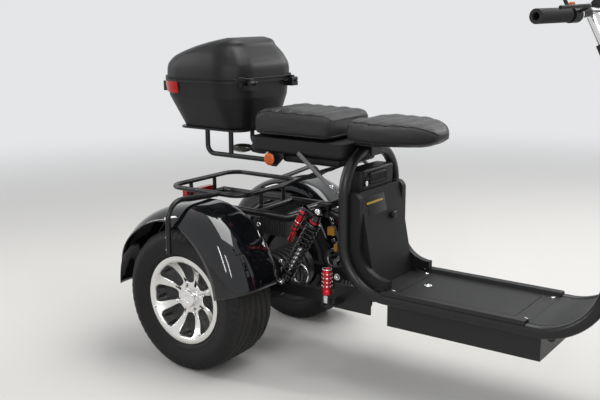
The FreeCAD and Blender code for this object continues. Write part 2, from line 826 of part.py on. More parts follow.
def make_front_riser():
    """Kick panel that continues the floor up between the loops to the steering head."""
    half = float(S.loop_side - S.loop_radius) - 1
    inner = float(S.loop_front_bend) - float(S.deck_top - S.loop_base)
    start = float(DECK_FRONT) + 0.5
    corner, upper = float(HEAD_X) - 54, (float(HEAD_X) - 34, float(S.head_height) - 244)
    thickness = float(S.deck_thickness)
    top = float(S.deck_top)
    path = bent_path([(start, 0, top - thickness / 2), (corner, 0, top - thickness / 2),
                      (upper[0], 0, upper[1])],
                     (inner,))
    section = Part.makePolygon([Vector(start, -half, top), Vector(start, half, top),
                                Vector(start, half, top - thickness), Vector(start, -half, top - thickness),
                                Vector(start, -half, top)])
    node(shaped("riser", path.makePipeShell([section], True, False)), "front_riser")


# ---------------------------------------------------------------- battery bay

def make_bay():
    """The front wall between the flanges, with its side returns and the shelf that carries the battery."""
    foot, shelf, wall = S.deck_top + S.seat_clearance, S.shelf_level, S.fairing_wall
    run, rise = S.fairing_foot_x - S.fairing_top_x, S.fairing_top_z - foot

    def front(level):
        return S.fairing_foot_x - run * (level - foot) / rise

    profile = [
        (S.fairing_rear, shelf),
        (front(shelf) - wall, shelf),
        (front(foot + wall) - wall, foot + wall),
        (S.fairing_foot_x - S.fairing_foot_depth, foot + wall),
        (S.fairing_foot_x - S.fairing_foot_depth, foot),
        (S.fairing_foot_x, foot),
        (S.fairing_top_x, S.fairing_top_z),
        (S.fairing_rear, S.fairing_top_z),
    ]
    shell = new_body("bay")
    pad(shell, outline(shell, "bay_profile", "XZ_Plane", profile), S.fairing_half_width * 2, centred=True)
    floor, ceiling = shelf + wall, S.fairing_top_z + 20
    hollow = [(S.fairing_rear - 20, floor), (front(floor) - wall, floor), (front(ceiling) - wall, ceiling),
              (S.fairing_rear - 20, ceiling)]
    inside = outline(shell, "bay_hollow", "XZ_Plane", hollow)
    pocket(shell, inside, (S.fairing_half_width - wall) * 2, centred=True)
    node(shell, "bay_fairing")

    pack = new_body("pack")
    wide, rear, face = S.battery_half_width, S.battery_rear, S.battery_rear + S.battery_depth
    bottom = floor + S.seat_clearance
    plan = outline(pack, "pack_plan", "XY_Plane", [(rear, -wide), (face, -wide), (face, wide), (rear, wide)],
                   lift=bottom)
    block = pad(pack, plan, S.battery_top - bottom)
    corners = round_edges(pack, block, S.battery_corner, lambda edge: runs_along(edge, Vector(0, 0, 1)))
    round_edges(pack, corners, 8, lambda edge: edge.BoundBox.ZMin > float(S.battery_top) - 1)
    low, high, half = S.battery_top - 42, S.battery_top - 18, 46
    grip = outline(pack, "pack_grip", "YZ_Plane",
                   [(6 - half, low), (half - 6, low), (half, low + 6), (half, high - 6), (half - 6, high),
                    (6 - half, high), (-half, high - 6), (-half, low + 6)], lift=face - S.grip_recess_depth)
    pocket(pack, grip, S.grip_recess_depth + 5, backwards=True)
    lock = circles(pack, "pack_lock", "YZ_Plane", [(-0.72 * wide, low + 12)], S.lock_radius, lift=face - 1)
    pad(pack, lock, 4)
    node(pack, "battery_pack")


# ---------------------------------------------------------------- seats and tray

def seat_pad(name, plan, bottom, top):
    """An upholstered block: upright corners and the upper edge are rounded."""
    body = new_body(name)
    block = pad(body, outline(body, name + "_plan", "XY_Plane", plan, lift=bottom), top - bottom)
    corners = round_edges(body, block, 36, lambda edge: runs_along(edge, Vector(0, 0, 1)))
    round_edges(body, corners, 18, lambda edge: edge.BoundBox.ZMin > float(top) - 1)
    return body


def make_seats():
    wide, nose = S.seat_half_width, S.saddle_nose_half_width
    tray = new_body("tray")
    plan = [(S.tray_rear, -S.tray_half_width), (S.tray_front, -S.tray_half_width),
            (S.tray_front, S.tray_half_width), (S.tray_rear, S.tray_half_width)]
    floor = outline(tray, "tray_plan", "XY_Plane", plan, lift=S.tray_bottom)
    slab = pad(tray, floor, S.tray_top - S.tray_bottom)
    corners = round_edges(tray, slab, 30, lambda edge: runs_along(edge, Vector(0, 0, 1)))
    round_edges(tray, corners, 12, lambda edge: edge.BoundBox.ZMax < float(S.tray_bottom) + 1)
    node(tray, "seat_tray")

    bench = [(S.bench_rear, -wide), (S.bench_front, -wide), (S.bench_front, wide), (S.bench_rear, wide)]
    node(seat_pad("bench", bench, S.tray_top + S.seat_clearance, S.bench_top), "passenger_seat")
    shoulder, tip = S.saddle_rear + S.saddle_shoulder, S.saddle_front - 42
    saddle = [(S.saddle_rear, -wide), (shoulder, -wide), (tip, -nose, S.saddle_nose_radius), (tip, nose),
              (shoulder, wide), (S.saddle_rear, wide)]
    saddle_body = seat_pad("saddle", saddle, S.saddle_bottom, S.saddle_top)

    # the saddle tips forward on a barrel hinge at the front of its bracket
    hinge_x, hinge_z = S.bracket_front + S.saddle_hinge_ahead, S.saddle_bottom - S.saddle_hinge_drop
    half, barrel = S.bracket_half_width, S.saddle_barrel_radius
    knuckle = half / 3

    def across_hinge(name, radius, low, high):
        return cylinder(name, radius, high - low, hinge_x, low, hinge_z, ALONG_Y)

    leaf = box("saddle_leaf", (hinge_x - barrel + 1, 0.5 - knuckle, hinge_z + 2),
               (hinge_x + barrel - 1, knuckle - 0.5, S.saddle_bottom + 1))
    middle = across_hinge("saddle_barrel", barrel, 0.5 - knuckle, knuckle - 0.5)
    hung = fused("saddle_hung", saddle_body, middle, leaf)
    bore = across_hinge("saddle_bore", S.saddle_pin_radius + S.running_gap, -half, half)
    node(without("saddle_bored", hung, bore), "driver_seat")

    low = S.loop_top + S.loop_radius + S.seat_clearance
    top = low + S.bracket_thickness
    pieces = [box("bracket_plate", (S.tray_front + S.seat_clearance, -half, low), (S.bracket_front, half, top)),
              box("bracket_web", (S.loop_back + S.loop_radius + S.seat_clearance, -half / 2, low - 34),
                  (S.loop_back + S.loop_radius + 6, half / 2, low + 1)),
              across_hinge("bracket_pin", S.saddle_pin_radius, -half, half)]
    for side, sign in SIDES:
        ends = (knuckle, half) if sign > 0 else (-half, -knuckle)
        pieces.append(across_hinge(f"bracket_barrel_{side}", barrel, *ends))
        pieces.append(box(f"bracket_ear_{side}", (S.bracket_front - 4, ends[0], low), (hinge_x, ends[1], top)))
        pieces.append(cylinder(f"buffer_{side}", 9, S.saddle_bottom - top - S.seat_clearance,
                               S.loop_back + 8, sign * half * 0.7, top))
    node(fused("bracket", *pieces), "seat_bracket")


# ---------------------------------------------------------------- top case

def rounded_slab(x_low, x_high, half_width, corner, z):
    """A closed wire: a rectangle with round corners at height z."""
    corner = min(corner, half_width - 1, (x_high - x_low) / 2 - 1)
    points = []
    right, left, side = x_high - corner, x_low + corner, half_width - corner
    for cx, cy, start in ((right, side, 0), (left, side, 90), (left, -side, 180), (right, -side, 270)):
        arc = [Vector(cx + corner * math.cos(math.radians(start + turn)),
                      cy + corner * math.sin(math.radians(start + turn)), z) for turn in (0, 45, 90)]
        points.append(arc)
    edges = []
    for index, arc in enumerate(points):
        edges.append(Part.Arc(*arc).toShape())
        edges.append(Part.LineSegment(arc[2], points[(index + 1) % 4][0]).toShape())
    return Part.Wire(edges)


def loft(sections):
    return Part.makeLoft([rounded_slab(*section) for section in sections], True, True)


def case_shell(sections, first_lift, rest_drop):
    """A thin shell from a table of sections.

    The inner skin lies inside the outer one by the wall. Its first section is lifted and the others are
    dropped, which gives the floor or the roof its thickness and leaves the other end open.
    """
    rear, front, wide = float(S.case_rear), float(S.case_front), float(S.case_half_width)

    def skin(inset, lift=0.0, drop=0.0):
        return loft([(rear + back + inset, front - ahead - inset, wide - side - inset, corner,
                      level + (lift if index == 0 else -drop))
                     for index, (back, ahead, side, corner, level) in enumerate(sections)])
    return skin(0.0).cut(skin(float(S.case_wall), first_lift, rest_drop))


def case_flange(low, high):
    """The lip that runs round the edge of the lid or the base, as a ring open in the middle."""
    rear, front, wide = float(S.case_rear), float(S.case_front), float(S.case_half_width)
    corner, inset = float(S.case_corner), float(S.case_flange) + float(S.case_wall)
    outer = loft([(rear, front, wide, corner, level) for level in (low, high)])
    inner = loft([(rear + inset, front - inset, wide - inset, corner - inset, level)
                  for level in (low - 1, high + 1)])
    return outer.cut(inner)


def case_hinges():
    """Barrels on the hinge axis: the outer knuckles and the pin for the base, the middle one for the lid."""
    x, z = float(S.case_hinge_x), float(S.case_split - S.case_hinge_drop)
    radius, pin = float(S.case_barrel_radius), float(S.case_pin_radius)
    front, split = float(S.case_front), float(S.case_split)
    inset = 8
    plan = (float(S.case_rear) + inset, front - inset,
            float(S.case_half_width) - inset, float(S.case_corner) - inset)
    inside = loft([(*plan, level) for level in (split - 60, split + 60)])
    of_base, of_lid = [], []
    for _, sign in SIDES:
        middle = sign * float(S.case_hinge_side)
        block = Part.makeBox(x + radius - front + 30, 32, 14, Vector(front - 30, middle - 16, z - 22))
        of_base += [block.cut(inside), across(pin, x, z, middle - 16, middle + 16)]
        for low in (middle - 16, middle + 8):
            of_base.append(across(radius + 0.5, x, z, low, low + 8))
            of_base.append(Part.makeBox(10, 8, 12, Vector(x - 5, low, z - 12)))
        arm = Part.makeBox(x + 1 - front, 15, split + 7 - z, Vector(front + 1, middle - 7.5, z))
        root = Part.makeBox(24, 15, 6, Vector(front - 20, middle - 7.5, split + 0.6)).cut(inside)
        bore = across(pin + float(S.running_gap), x, z, middle - 20, middle + 20)
        of_lid += [part.cut(bore) for part in (across(radius, x, z, middle - 7.5, middle + 7.5), arm, root)]
    return of_base, of_lid


def make_top_case():
    rear, front = float(S.case_rear), float(S.case_front)
    wide, corner = float(S.case_half_width), float(S.case_corner)
    floor, split, roof = float(S.case_floor), float(S.case_split), float(S.case_roof)
    lip, height = float(S.case_flange), float(S.case_flange_height)
    of_base, of_lid = case_hinges()

    # columns: how far the rear, the front and each side lie inside the flange, corner radius, level
    base_table = [
        (58, 33, 60, 60, floor),
        (10, 9, 12, corner - 7, floor + 0.64 * (split - floor)),
        (lip, lip, lip, corner - lip, split),
    ]
    base = case_shell(base_table, float(S.case_wall), -0.01)
    latch = loft([(rear - 17, rear + 60, 118, 12, level) for level in (split - 46, split - 14)])
    latch = latch.cut(loft([(rear + 12, front - 12, wide - 12, corner - 12, level)
                            for level in (split - 60, split)]))
    shell = base.multiFuse([case_flange(split - height, split), latch] + of_base)
    node(shaped("case_base_shape", shell), "case_base")

    rise = roof - split
    lid_table = [
        (lip, lip, lip, corner - lip, split + 0.3),
        (lip, lip, lip + 2, corner - lip, split + 0.33 * rise),
        (34, 22, 16, corner - 12, split + 0.54 * rise),
        (70, 34, 24, corner - 18, split + 0.66 * rise),
        (123, 47, 38, corner - 28, split + 0.80 * rise),
        (172, 52, 52, 58, split + 0.89 * rise),
        (212, 64, 68, 34, split + 0.95 * rise),
        (246, 88, 92, 8, roof),
    ]
    lid = case_shell(lid_table, -0.01, float(S.case_wall))
    shell = lid.multiFuse([case_flange(split + 0.3, split + height)] + of_lid)
    node(shaped("case_lid_shape", shell), "case_lid")

    side, thick = float(S.carrier_side), float(S.plate_thickness)
    under = floor - thick - 0.3
    plate = loft([(rear + 54, front - 30, side + 8, 40, level) for level in (under, under + thick)])
    level, end = float(S.carrier_level), float(S.lug_x)
    low, high = float(S.lug_x) - 14, float(S.lug_x) + 48
    bottom, top = level - 18, float(S.tray_bottom - S.seat_clearance)
    corners = ((low, top), (low, bottom + 10), (low + 14, bottom), (high - 30, bottom), (high, top - 12),
               (high, top), (low, top))
    lug_shape = Part.Face(Part.makePolygon([Vector(x, 0, z) for x, z in corners]))
    carrier = [plate]
    for _, sign in SIDES:
        y = sign * side
        carrier.append(tube([(float(S.carrier_rear), y, under + thick / 2), (float(S.carrier_rear), y, level),
                             (end, y, level)], (28,), S.carrier_radius))
        carrier.append(Part.makeCylinder(float(S.carrier_radius), under + thick / 2 - level,
                                         Vector(float(S.carrier_mid), y, level)))
        lug = lug_shape.extrude(Vector(0, float(S.lug_thickness), 0))
        lug.translate(Vector(0, y - float(S.lug_thickness) / 2, 0))
        carrier.append(lug)
    node(shaped("carrier", carrier[0].multiFuse(carrier[1:])), "case_carrier")


# ---------------------------------------------------------------- rack and fenders

def make_rack():
    """A ring of tube on four posts that stand on the rear frame's cross tubes."""
    rear, front, side = float(S.rack_rear), float(S.rack_front), float(S.rack_half_width)
    level, foot = float(S.rack_level), float(S.rear_rail_level)
    middle = (rear + front) / 2
    half_rings = [tube([(middle, side * sign, level), (x, side * sign, level), (x, 0, level)], (S.rack_bend,),
                       S.rack_radius) for sign in (-1, 1) for x in (rear, front)]
    post_side = float(S.rack_post_side)
    posts = [Part.makeCylinder(float(S.rack_radius) - 1, level - foot, Vector(x, sign * post_side, foot))
             for x in (rear, front) for _, sign in SIDES]
    rack = half_rings[0].multiFuse(half_rings[1:] + posts)
    cross = [across(float(S.rear_rail_radius) - 1, x, foot, -200, 200) for x in (float(S.rear_rail_end), front)]
    node(shaped("rack", rack.cut(cross[0].fuse(cross[1]))), "luggage_rack")


def fender_body(name, facing):
    """An open arch over a rear wheel: a domed section turned about the axle, with the arch cut out."""
    body = new_body(name)
    wall = S.fender_wall
    inner, outer, crown = S.fender_inner_side, S.fender_outer_side, S.fender_radius
    skirt, large, small = S.fender_skirt, S.fender_outer_round, S.fender_inner_round
    section = [
        (skirt + 10, inner), (skirt + 10, inner + wall), (crown - small, inner + wall, small - wall),
        (crown - wall, inner + small), (crown - wall, outer - large, large - wall),
        (crown - large, outer - wall), (skirt, outer - wall), (skirt, outer), (crown - large, outer, -large),
        (crown, outer - large), (crown, inner + small, -small), (crown - small, inner),
    ]
    sketch = outline(body, name + "_section", "YZ_Plane", section)
    feature = body.newObject("PartDesign::Revolution", name + "_turn")
    feature.Profile = sketch
    feature.ReferenceAxis = (sketch, ["V_Axis"])
    feature.Midplane = True
    bind(feature, Angle=S.fender_half_sweep * 2)
    arch = circles(body, name + "_arch", "XY_Plane", [(-50 * facing, -8)], S.fender_radius - 50,
                   lift=S.fender_outer_side - 30)
    pocket(body, arch, 60, backwards=True)
    return body


def make_fenders():
    for side, sign in SIDES:
        facing = -sign
        turn = RIGHT_WHEEL if side == "right" else LEFT_WHEEL
        tilt = Rotation(Vector(0, 0, 1), float(S.fender_tilt) * facing)
        node(fender_body(f"fender_{side}_body", facing), f"rear_fender_{side}", 0,
             sign * S.wheel_half_track, S.tyre_radius, turn.multiply(tilt))
    hoops = []
    reach = float(S.rack_half_width) + float(S.rack_radius)
    low, high = S.tyre_radius + S.hoop_low_above_axle, S.rack_level + S.hoop_rise
    for _, sign in SIDES:
        hoops.append(tube([(float(S.hoop_x), sign * float(S.hoop_side), float(low)),
                           (float(S.hoop_x), sign * float(S.hoop_side), float(high)),
                           (float(S.hoop_x), sign * reach, float(S.rack_level))], (60,), 8))
    node(shaped("hoops", Part.makeCompound(hoops)), "fender_hoops")


# ---------------------------------------------------------------- running gear

def make_running_gear():
    """The rear axle and the arms that carry it, welded as one piece, with the finned motor ahead of it."""
    axle_z = float(S.tyre_radius)
    half = float(S.axle_tube_half_length)
    side, wide, tall = float(S.arm_side), float(S.arm_width), float(S.arm_height)
    pivot_x, pivot_z = float(S.pivot_x), float(S.pivot_z)
    casing_radius, casing_centre = 72, Vector(0, 34, axle_z)
    casing = Part.makeSphere(casing_radius, casing_centre).common(
        Part.makeBox(160, 100, 160, Vector(-80, -16, axle_z - 80)))
    pieces = [across(S.axle_tube_radius, 0, axle_z, -half, half), casing,
              Part.makeBox(24, 2 * side, tall - 8, Vector(400, -side, pivot_z - tall / 2 + 4))]
    for _, sign in SIDES:
        low = sign * side - wide / 2
        pieces.append(Part.makeBox(pivot_x, wide, tall, Vector(0, low, pivot_z - tall / 2)))
        pieces.append(across(S.pivot_radius + 3, pivot_x, pivot_z, low, low + wide))
        pieces.append(Part.makeBox(90, wide, 84, Vector(-45, low, axle_z - 40)))
        ear_in = sign * side
        ear_out = sign * (float(S.shock_side) - float(S.shock_eye_width) / 2 - 0.3)
        pieces.append(Part.makeBox(36, abs(ear_out - ear_in), 38,
                                   Vector(float(S.shock_low_x) - 18, min(ear_in, ear_out),
                                          float(S.shock_low_z) - 30)))
    arm = pieces[0].multiFuse(pieces[1:])
    arm = arm.cut(across(S.pivot_bolt_radius + 0.3, pivot_x, pivot_z, -200, 200))
    for sign in (-1, 1):
        end, deep = sign * (half + 1), sign * (half - float(S.stub_length) - 12)
        arm = arm.cut(across(S.stub_radius + S.running_gap, 0, axle_z, min(end, deep), max(end, deep)))
    node(shaped("swing", arm), "swing_arm")

    reach = float(S.motor_half_length)
    motor_x, motor_z = float(S.motor_ahead), axle_z + 26
    fins = [across(S.motor_radius + S.motor_fin, motor_x, motor_z, middle - 3, middle + 3)
            for middle in (-50, -25, 0, 25, 50)]
    boss = across(S.motor_radius - 30, motor_x, motor_z, -reach - 8, reach + 8)
    can = across(S.motor_radius, motor_x, motor_z, -reach, reach).multiFuse(fins + [boss])
    can = can.cut(Part.makeSphere(casing_radius + float(S.seat_clearance), casing_centre))
    can = can.cut(across(S.axle_tube_radius + S.seat_clearance, 0, axle_z, -200, 200))
    node(shaped("motor", can), "drive_motor")

    # plates under the loops take the pivot bolts and, further back, the foot pegs
    plates = []
    for _, sign in SIDES:
        inner = sign * (side + wide / 2 + float(S.seat_clearance))
        outer = inner + sign * 6
        plate = Part.makeBox(128, 6, 78, Vector(pivot_x - 98, min(inner, outer), pivot_z - 26))
        bolt = across(S.pivot_bolt_radius, pivot_x, pivot_z, *sorted((sign * (side - wide / 2 - 6), outer)))
        peg_x, peg_z, peg_y = float(S.peg_x), float(S.peg_z), sign * float(S.peg_side)
        bar = Part.makeBox(26.6, abs(peg_y - inner), 8, Vector(peg_x - 13.3, min(peg_y, inner), peg_z - 24))
        ears = [Part.makeBox(5, 20, 24, Vector(x, peg_y - 10, peg_z - 16)) for x in (peg_x - 13.3, peg_x + 8.3)]
        pin = Part.makeCylinder(4, 26, Vector(peg_x - 13, peg_y, peg_z), Vector(1, 0, 0))
        plate = plate.multiFuse([bolt, bar, pin] + ears).cut(BOTH_LOOPS)
        plates.append(max(plate.Solids, key=lambda solid: solid.Volume))
    node(shaped("plates", Part.makeCompound(plates)), "pivot_plates")


def make_shocks():
    """Coil-over dampers with a side reservoir, from the swing arm up to the rear frame."""
    top = Vector(float(S.shock_top_x), 0, float(S.shock_top_z))
    low = Vector(float(S.shock_low_x), 0, float(S.shock_low_z))
    length = (top - low).Length
    lean = Rotation(Vector(0, 0, 1), top - low)
    eye_radius, eye_width = float(S.shock_eye_radius), float(S.shock_eye_width)
    body_radius, rod_radius = float(S.shock_body_radius), float(S.shock_rod_radius)
    dampers, springs = [], []
    for _, sign in SIDES:
        place = Placement(low + Vector(0, sign * float(S.shock_side), 0), lean)
        parts = []
        for height in (0, length):
            parts.append(across(eye_radius, 0, height, -eye_width / 2, eye_width / 2))
        parts.append(Part.makeCylinder(rod_radius, length, Vector(0, 0, 0)))
        parts.append(Part.makeCylinder(body_radius, length * 0.5, Vector(0, 0, length * 0.46)))
        for height in (eye_radius + 12, length - eye_radius - 34):
            parts.append(Part.makeCylinder(float(S.coil_radius) + 4, 6, Vector(0, 0, height)))
        lift = length - eye_radius - 28
        arm = Part.makeBox(40, 14, 22, Vector(-34, -7, lift + 4))
        reservoir = Part.makeCylinder(float(S.reservoir_radius), 92, Vector(-36, 0, lift - 66))
        damper = parts[0].multiFuse(parts[1:] + [arm, reservoir])
        bolt_hole = Part.makeCylinder(5, 60, Vector(0, -30, 0), Vector(0, 1, 0))
        damper = damper.cut(bolt_hole)
        dampers.append(moved(damper, place))
        low_seat = eye_radius + 18.3 + float(S.coil_wire_radius)
        high_seat = length - eye_radius - 34.3 - float(S.coil_wire_radius)
        pitch = (high_seat - low_seat) / float(S.coil_turns)
        helix = Part.makeHelix(pitch, high_seat - low_seat, float(S.coil_radius))
        ring = [Vector(float(S.coil_radius), 0, 0) + Rotation(Vector(0, 1, 0), angle).multVec(
            Vector(float(S.coil_wire_radius), 0, 0)) for angle in range(0, 361, 60)]
        coil = Part.Wire(helix.Edges).makePipeShell([Part.makePolygon(ring)], True, True)
        springs.append(moved(coil, place.multiply(Placement(Vector(0, 0, low_seat), Rotation()))))
    node(shaped("dampers", Part.makeCompound(dampers)), "shock_dampers")
    node(shaped("coils", Part.makeCompound(springs)), "shock_springs")


# ---------------------------------------------------------------- steering

def clamp_plate(name, bottom):
    """A fork clamp: narrow at the stem, with a bored end round each fork tube."""
    body = new_body(name)
    offset, side, thick = S.fork_offset, S.fork_side, S.clamp_thickness
    plan = [(-26, -30), (offset - 24, -side - 8), (offset - 6, -side - 28), (offset + 28, -side - 28),
            (offset + 28, 30 - side), (48, -30), (48, 30), (offset + 28, side - 30), (offset + 28, side + 28),
            (offset - 6, side + 28), (offset - 24, side + 8), (-26, 30)]
    pad(body, outline(body, name + "_plan", "XY_Plane", plan, lift=bottom), thick)
    holes = circles(body, name + "_holes", "XY_Plane", [(offset, sign * side) for _, sign in SIDES],
                    S.fork_outer_radius, lift=bottom - 5)
    pocket(body, holes, thick + 10, backwards=True)
    return body


def bar_points(sign):
    """Inner bend, sweep and end of the handlebar on one side, in the steering's own axes."""
    offset, height = S.fork_offset, S.riser_top
    return [(offset, sign * 170.0, height), (offset - 12, sign * 206.0, height),
            (offset - 46, sign * S.bar_half_length, height + 14)]


def along_bar(sign, distance, radius, length, inner=0.0, ahead=0.0):
    """A rod or sleeve on the swept end of the handlebar, at a distance from its inner bend."""
    start, end = (Vector(*(float(value) for value in point)) for point in bar_points(sign)[1:])
    way = (end - start).normalize()
    place = start + way * distance + Vector(ahead, 0, 0)
    sleeve = Part.makeCylinder(radius, length, place, way)
    if inner:
        sleeve = sleeve.cut(Part.makeCylinder(inner, 3 * length, place - way * length, way))
    return sleeve


def make_steering():
    half, thick = S.head_half_length, S.clamp_thickness
    fork_y, drop = S.fork_side, FRONT_AXLE_DROP
    gap = 1
    stem = cylinder("stem_rod", S.stem_radius, (half + gap) * 2 + thick, 0, 0, -half - gap)
    steered(fused("stem_and_clamp", clamp_plate("lower_clamp_body", -half - gap - thick), stem), "steering_stem")
    bored = without("upper_clamp_bored", clamp_plate("upper_clamp_body", half + gap),
                    cylinder("upper_bore", S.stem_radius, thick * 3, 0, 0, half - thick))
    risers = [cylinder(f"riser_{side}", S.riser_radius, S.riser_top - S.fork_outer_top - S.bar_radius + 2,
                       S.fork_offset, sign * fork_y, S.fork_outer_top) for side, sign in SIDES]
    steered(bored, "upper_clamp")

    lowers, uppers = [], []
    for side, sign in SIDES:
        y = sign * fork_y
        uppers.append(cylinder(f"fork_outer_{side}", S.fork_outer_radius, S.fork_outer_top - S.fork_outer_low,
                               S.fork_offset, y, S.fork_outer_low))
        lowers.append(cylinder(f"fork_rod_{side}", S.fork_inner_radius, S.fork_outer_low - drop,
                               S.fork_offset, y, drop))
        lowers.append(cylinder(f"fork_lug_{side}", S.fork_lug_radius, 40, S.fork_offset, y - 20, drop, ALONG_Y))
    lowers.append(cylinder("front_axle", S.front_axle_radius, fork_y * 2, S.fork_offset, -fork_y, drop, ALONG_Y))
    ends = (("right", -fork_y, -S.hub_face - 13), ("left", S.hub_back + 1, fork_y))
    for side, low, high in ends:
        lowers.append(cylinder(f"axle_spacer_{side}", S.front_axle_radius + 5, high - low, S.fork_offset,
                               low, drop, ALONG_Y))
    steered(together("fork_outers", *uppers), "fork_outer_tubes")
    steered(fused("fork_inners", *lowers), "fork_lower_legs")

    right, left = bar_points(-1), bar_points(1)
    span = math.dist([float(value) for value in left[1]], [float(value) for value in left[2]])
    bar = tube(right[::-1] + left, (30, 30, 30, 30), S.bar_radius)
    socket = bar.copy()
    depth = float(S.bar_bore_depth)
    for _, sign in SIDES:
        bar = bar.cut(along_bar(sign, span - depth, float(S.bar_bore_radius), depth + 5))
    steered(shaped("bar", bar), "handlebar")
    riser_pair = without("risers_cut", together("risers", *risers), shaped("bar_again", socket))
    steered(riser_pair, "bar_risers")

    grip, length = float(S.grip_radius), float(S.grip_length)
    bar_radius = float(S.bar_radius) + 0.1
    grips = [along_bar(sign, span + 6 - length, grip, length).cut(along_bar(sign, 0, bar_radius, span))
             .cut(along_bar(sign, span - 5, float(S.bar_bore_radius) + 1, 20)) for _, sign in SIDES]
    steered(shaped("grips", Part.makeCompound(grips)), "hand_grips")
    pods = []
    for _, sign in SIDES:
        pod = along_bar(sign, 10, 19, 30, inner=bar_radius)
        start = Vector(*(float(value) for value in bar_points(sign)[1])) + Vector(11, sign * 25, 2)
        blade = tube([start, start + Vector(34, sign * 8, -2), start + Vector(4, sign * 128, 8)], (14,), 4.5)
        pods.append(pod.fuse(blade))
    steered(shaped("pods", Part.makeCompound(pods)), "bar_controls")
    mirrors = []
    for _, sign in SIDES:
        base = Vector(*(float(value) for value in bar_points(sign)[1])) + Vector(-8, sign * 25, 21.8)
        top = base + Vector(-60, sign * 60, 118)
        stalk = tube([base, base + Vector(0, 0, 40), top], (30,), 4.5)
        head = Part.makeCylinder(50, 14, top + Vector(-7, 0, 0), Vector(1, 0, 0.5))
        mirrors.append(stalk.fuse(head))
    steered(shaped("mirror_pair", Part.makeCompound(mirrors)), "mirrors")
    dial_foot = Vector(float(S.fork_offset) - 8, 0, float(S.riser_top) + 16)
    dial = Part.makeCylinder(40, 24, dial_foot, Vector(-0.5, 0, 1))
    foot = Part.makeBox(24, 30, 26, Vector(float(S.fork_offset) - 16, -15, float(S.riser_top)))
    dash = dial.fuse(foot).cut(Part.makeCylinder(bar_radius, 200, Vector(float(S.fork_offset), -100,
                                                 float(S.riser_top)), Vector(0, 1, 0)))
    steered(shaped("dash", dash), "dash_display")
    lamps = [Part.makeCylinder(15, 26, Vector(float(S.fork_offset), sign * (float(fork_y + S.fork_outer_radius)
                               + 0.3), 60), Vector(0, sign, 0)) for _, sign in SIDES]
    steered(shaped("front_lamps", Part.makeCompound(lamps)), "front_turn_lamps")


def make_front_fender():
    body = new_body("front_fender_body")
    crown, wide, wall = S.front_fender_radius, S.front_fender_half_width, S.fender_wall
    section = [(-wide, crown - 34), (-wide + wall, crown - 34), (-wide + wall + 2, crown - 16),
               (-wide + 26, crown - wall), (wide - 26, crown - wall), (wide - wall - 2, crown - 16),
               (wide - wall, crown - 34), (wide, crown - 34), (wide, crown - 14), (wide - 24, crown),
               (-wide + 24, crown), (-wide, crown - 14)]
    sketch = outline(body, "front_fender_section", "YZ_Plane", [(radius, z) for z, radius in section])
    feature = body.newObject("PartDesign::Revolution", "front_fender_turn")
    feature.Profile = sketch
    feature.ReferenceAxis = (sketch, ["V_Axis"])
    feature.Midplane = True
    bind(feature, Angle=130)
    reach = float(S.fork_side - S.fork_inner_radius - S.seat_clearance)
    base = float(crown - wall)
    brace = Part.makeBox(30, 9, 2 * reach, Vector(-15, base, -reach))
    brace = moved(brace, Placement(Vector(), Rotation(Vector(0, 0, 1), float(S.rake))))
    node(fused("braced_front_fender", body, shaped("fork_brace", brace)), "front_fender",
         S.wheelbase, 0, S.tyre_radius, RIGHT_WHEEL)


def make_headlamp():
    """Round headlamp between the fork clamps, hung from the upper one on a flat stay."""
    radius = float(S.headlamp_radius)
    level = Rotation(Vector(0, 1, 0), float(S.rake))
    place = Placement(Vector(108, 0, -4), level)
    shell = Part.makeCylinder(radius, 50, Vector(0, 0, 0), Vector(1, 0, 0))
    back = Part.makeSphere(radius).common(
        Part.makeBox(radius, 2 * radius, 2 * radius, Vector(-radius, -radius, -radius)))
    shell = shell.fuse(back)
    shell = shell.cut(Part.makeCylinder(radius - 5, 22, Vector(34, 0, 0), Vector(1, 0, 0)))
    lens = Part.makeCylinder(radius - 5.3, 12, Vector(34.3, 0, 0), Vector(1, 0, 0))
    shell, lens = moved(shell, place), moved(lens, place)
    ceiling = float(S.head_half_length) + 1 - float(S.seat_clearance)
    stay = Part.makeBox(64, 50, 10, Vector(29, -25, ceiling - 10))
    head = Part.makeCylinder(float(S.head_radius) + 5, 200, Vector(0, 0, -100))
    steered(shaped("headlamp_body", shell.fuse(stay).cut(head)), "headlamp_shell")
    steered(shaped("headlamp_glass", lens), "headlamp_lens")


# ---------------------------------------------------------------- lamps and pegs

def make_lamps():
    outer = float(S.carrier_side + S.carrier_radius + S.seat_clearance)
    x, z = float(S.lug_x) + 5, float(S.carrier_level) + 7
    lamps = [across(14, x, z, *sorted((sign * outer, sign * (outer + 20)))) for _, sign in SIDES]
    node(shaped("turn_lamps", Part.makeCompound(lamps)), "rear_turn_lamps")
    rear = S.rear_rail_end - (S.rear_rail_radius - 1) - S.seat_clearance
    node(box("tail_block", (rear - 22, -70, 452), (rear, 70, 498)), "tail_lamp")


def make_pegs():
    """Foot pegs folded up beside the loops; each turns down and out on its pin."""
    x, z = float(S.peg_x), float(S.peg_z)
    for side, sign in SIDES:
        y = sign * float(S.peg_side)
        peg = Part.makeCylinder(float(S.peg_radius), float(S.peg_length), Vector(x, y, z + 16))
        tongue = Part.makeBox(16, 14, 30, Vector(x - 8, y - 7, z - 8))
        hole = Part.makeCylinder(4 + float(S.running_gap), 40, Vector(x - 20, y, z), Vector(1, 0, 0))
        node(shaped(f"peg_{side}", peg.fuse(tongue).cut(hole)), f"foot_peg_{side}")


# ---------------------------------------------------------------- build and write

def check(item):
    """Stop if a sub-part failed to compute, is empty or isn't valid."""
    bad = {"Invalid", "Error"} & set(item.State)
    if bad or item.Shape.isNull() or not item.Shape.isValid() or not item.Shape.Solids:
        raise ValueError(f"{item.Label} did not build: {item.State}")


make_wheels()
make_main_frame()
make_rear_frame()
make_deck()
make_front_riser()
make_bay()
make_seats()
make_top_case()
make_rack()
make_fenders()
make_running_gear()
make_shocks()
make_steering()
make_front_fender()
make_headlamp()
make_lamps()
make_pegs()

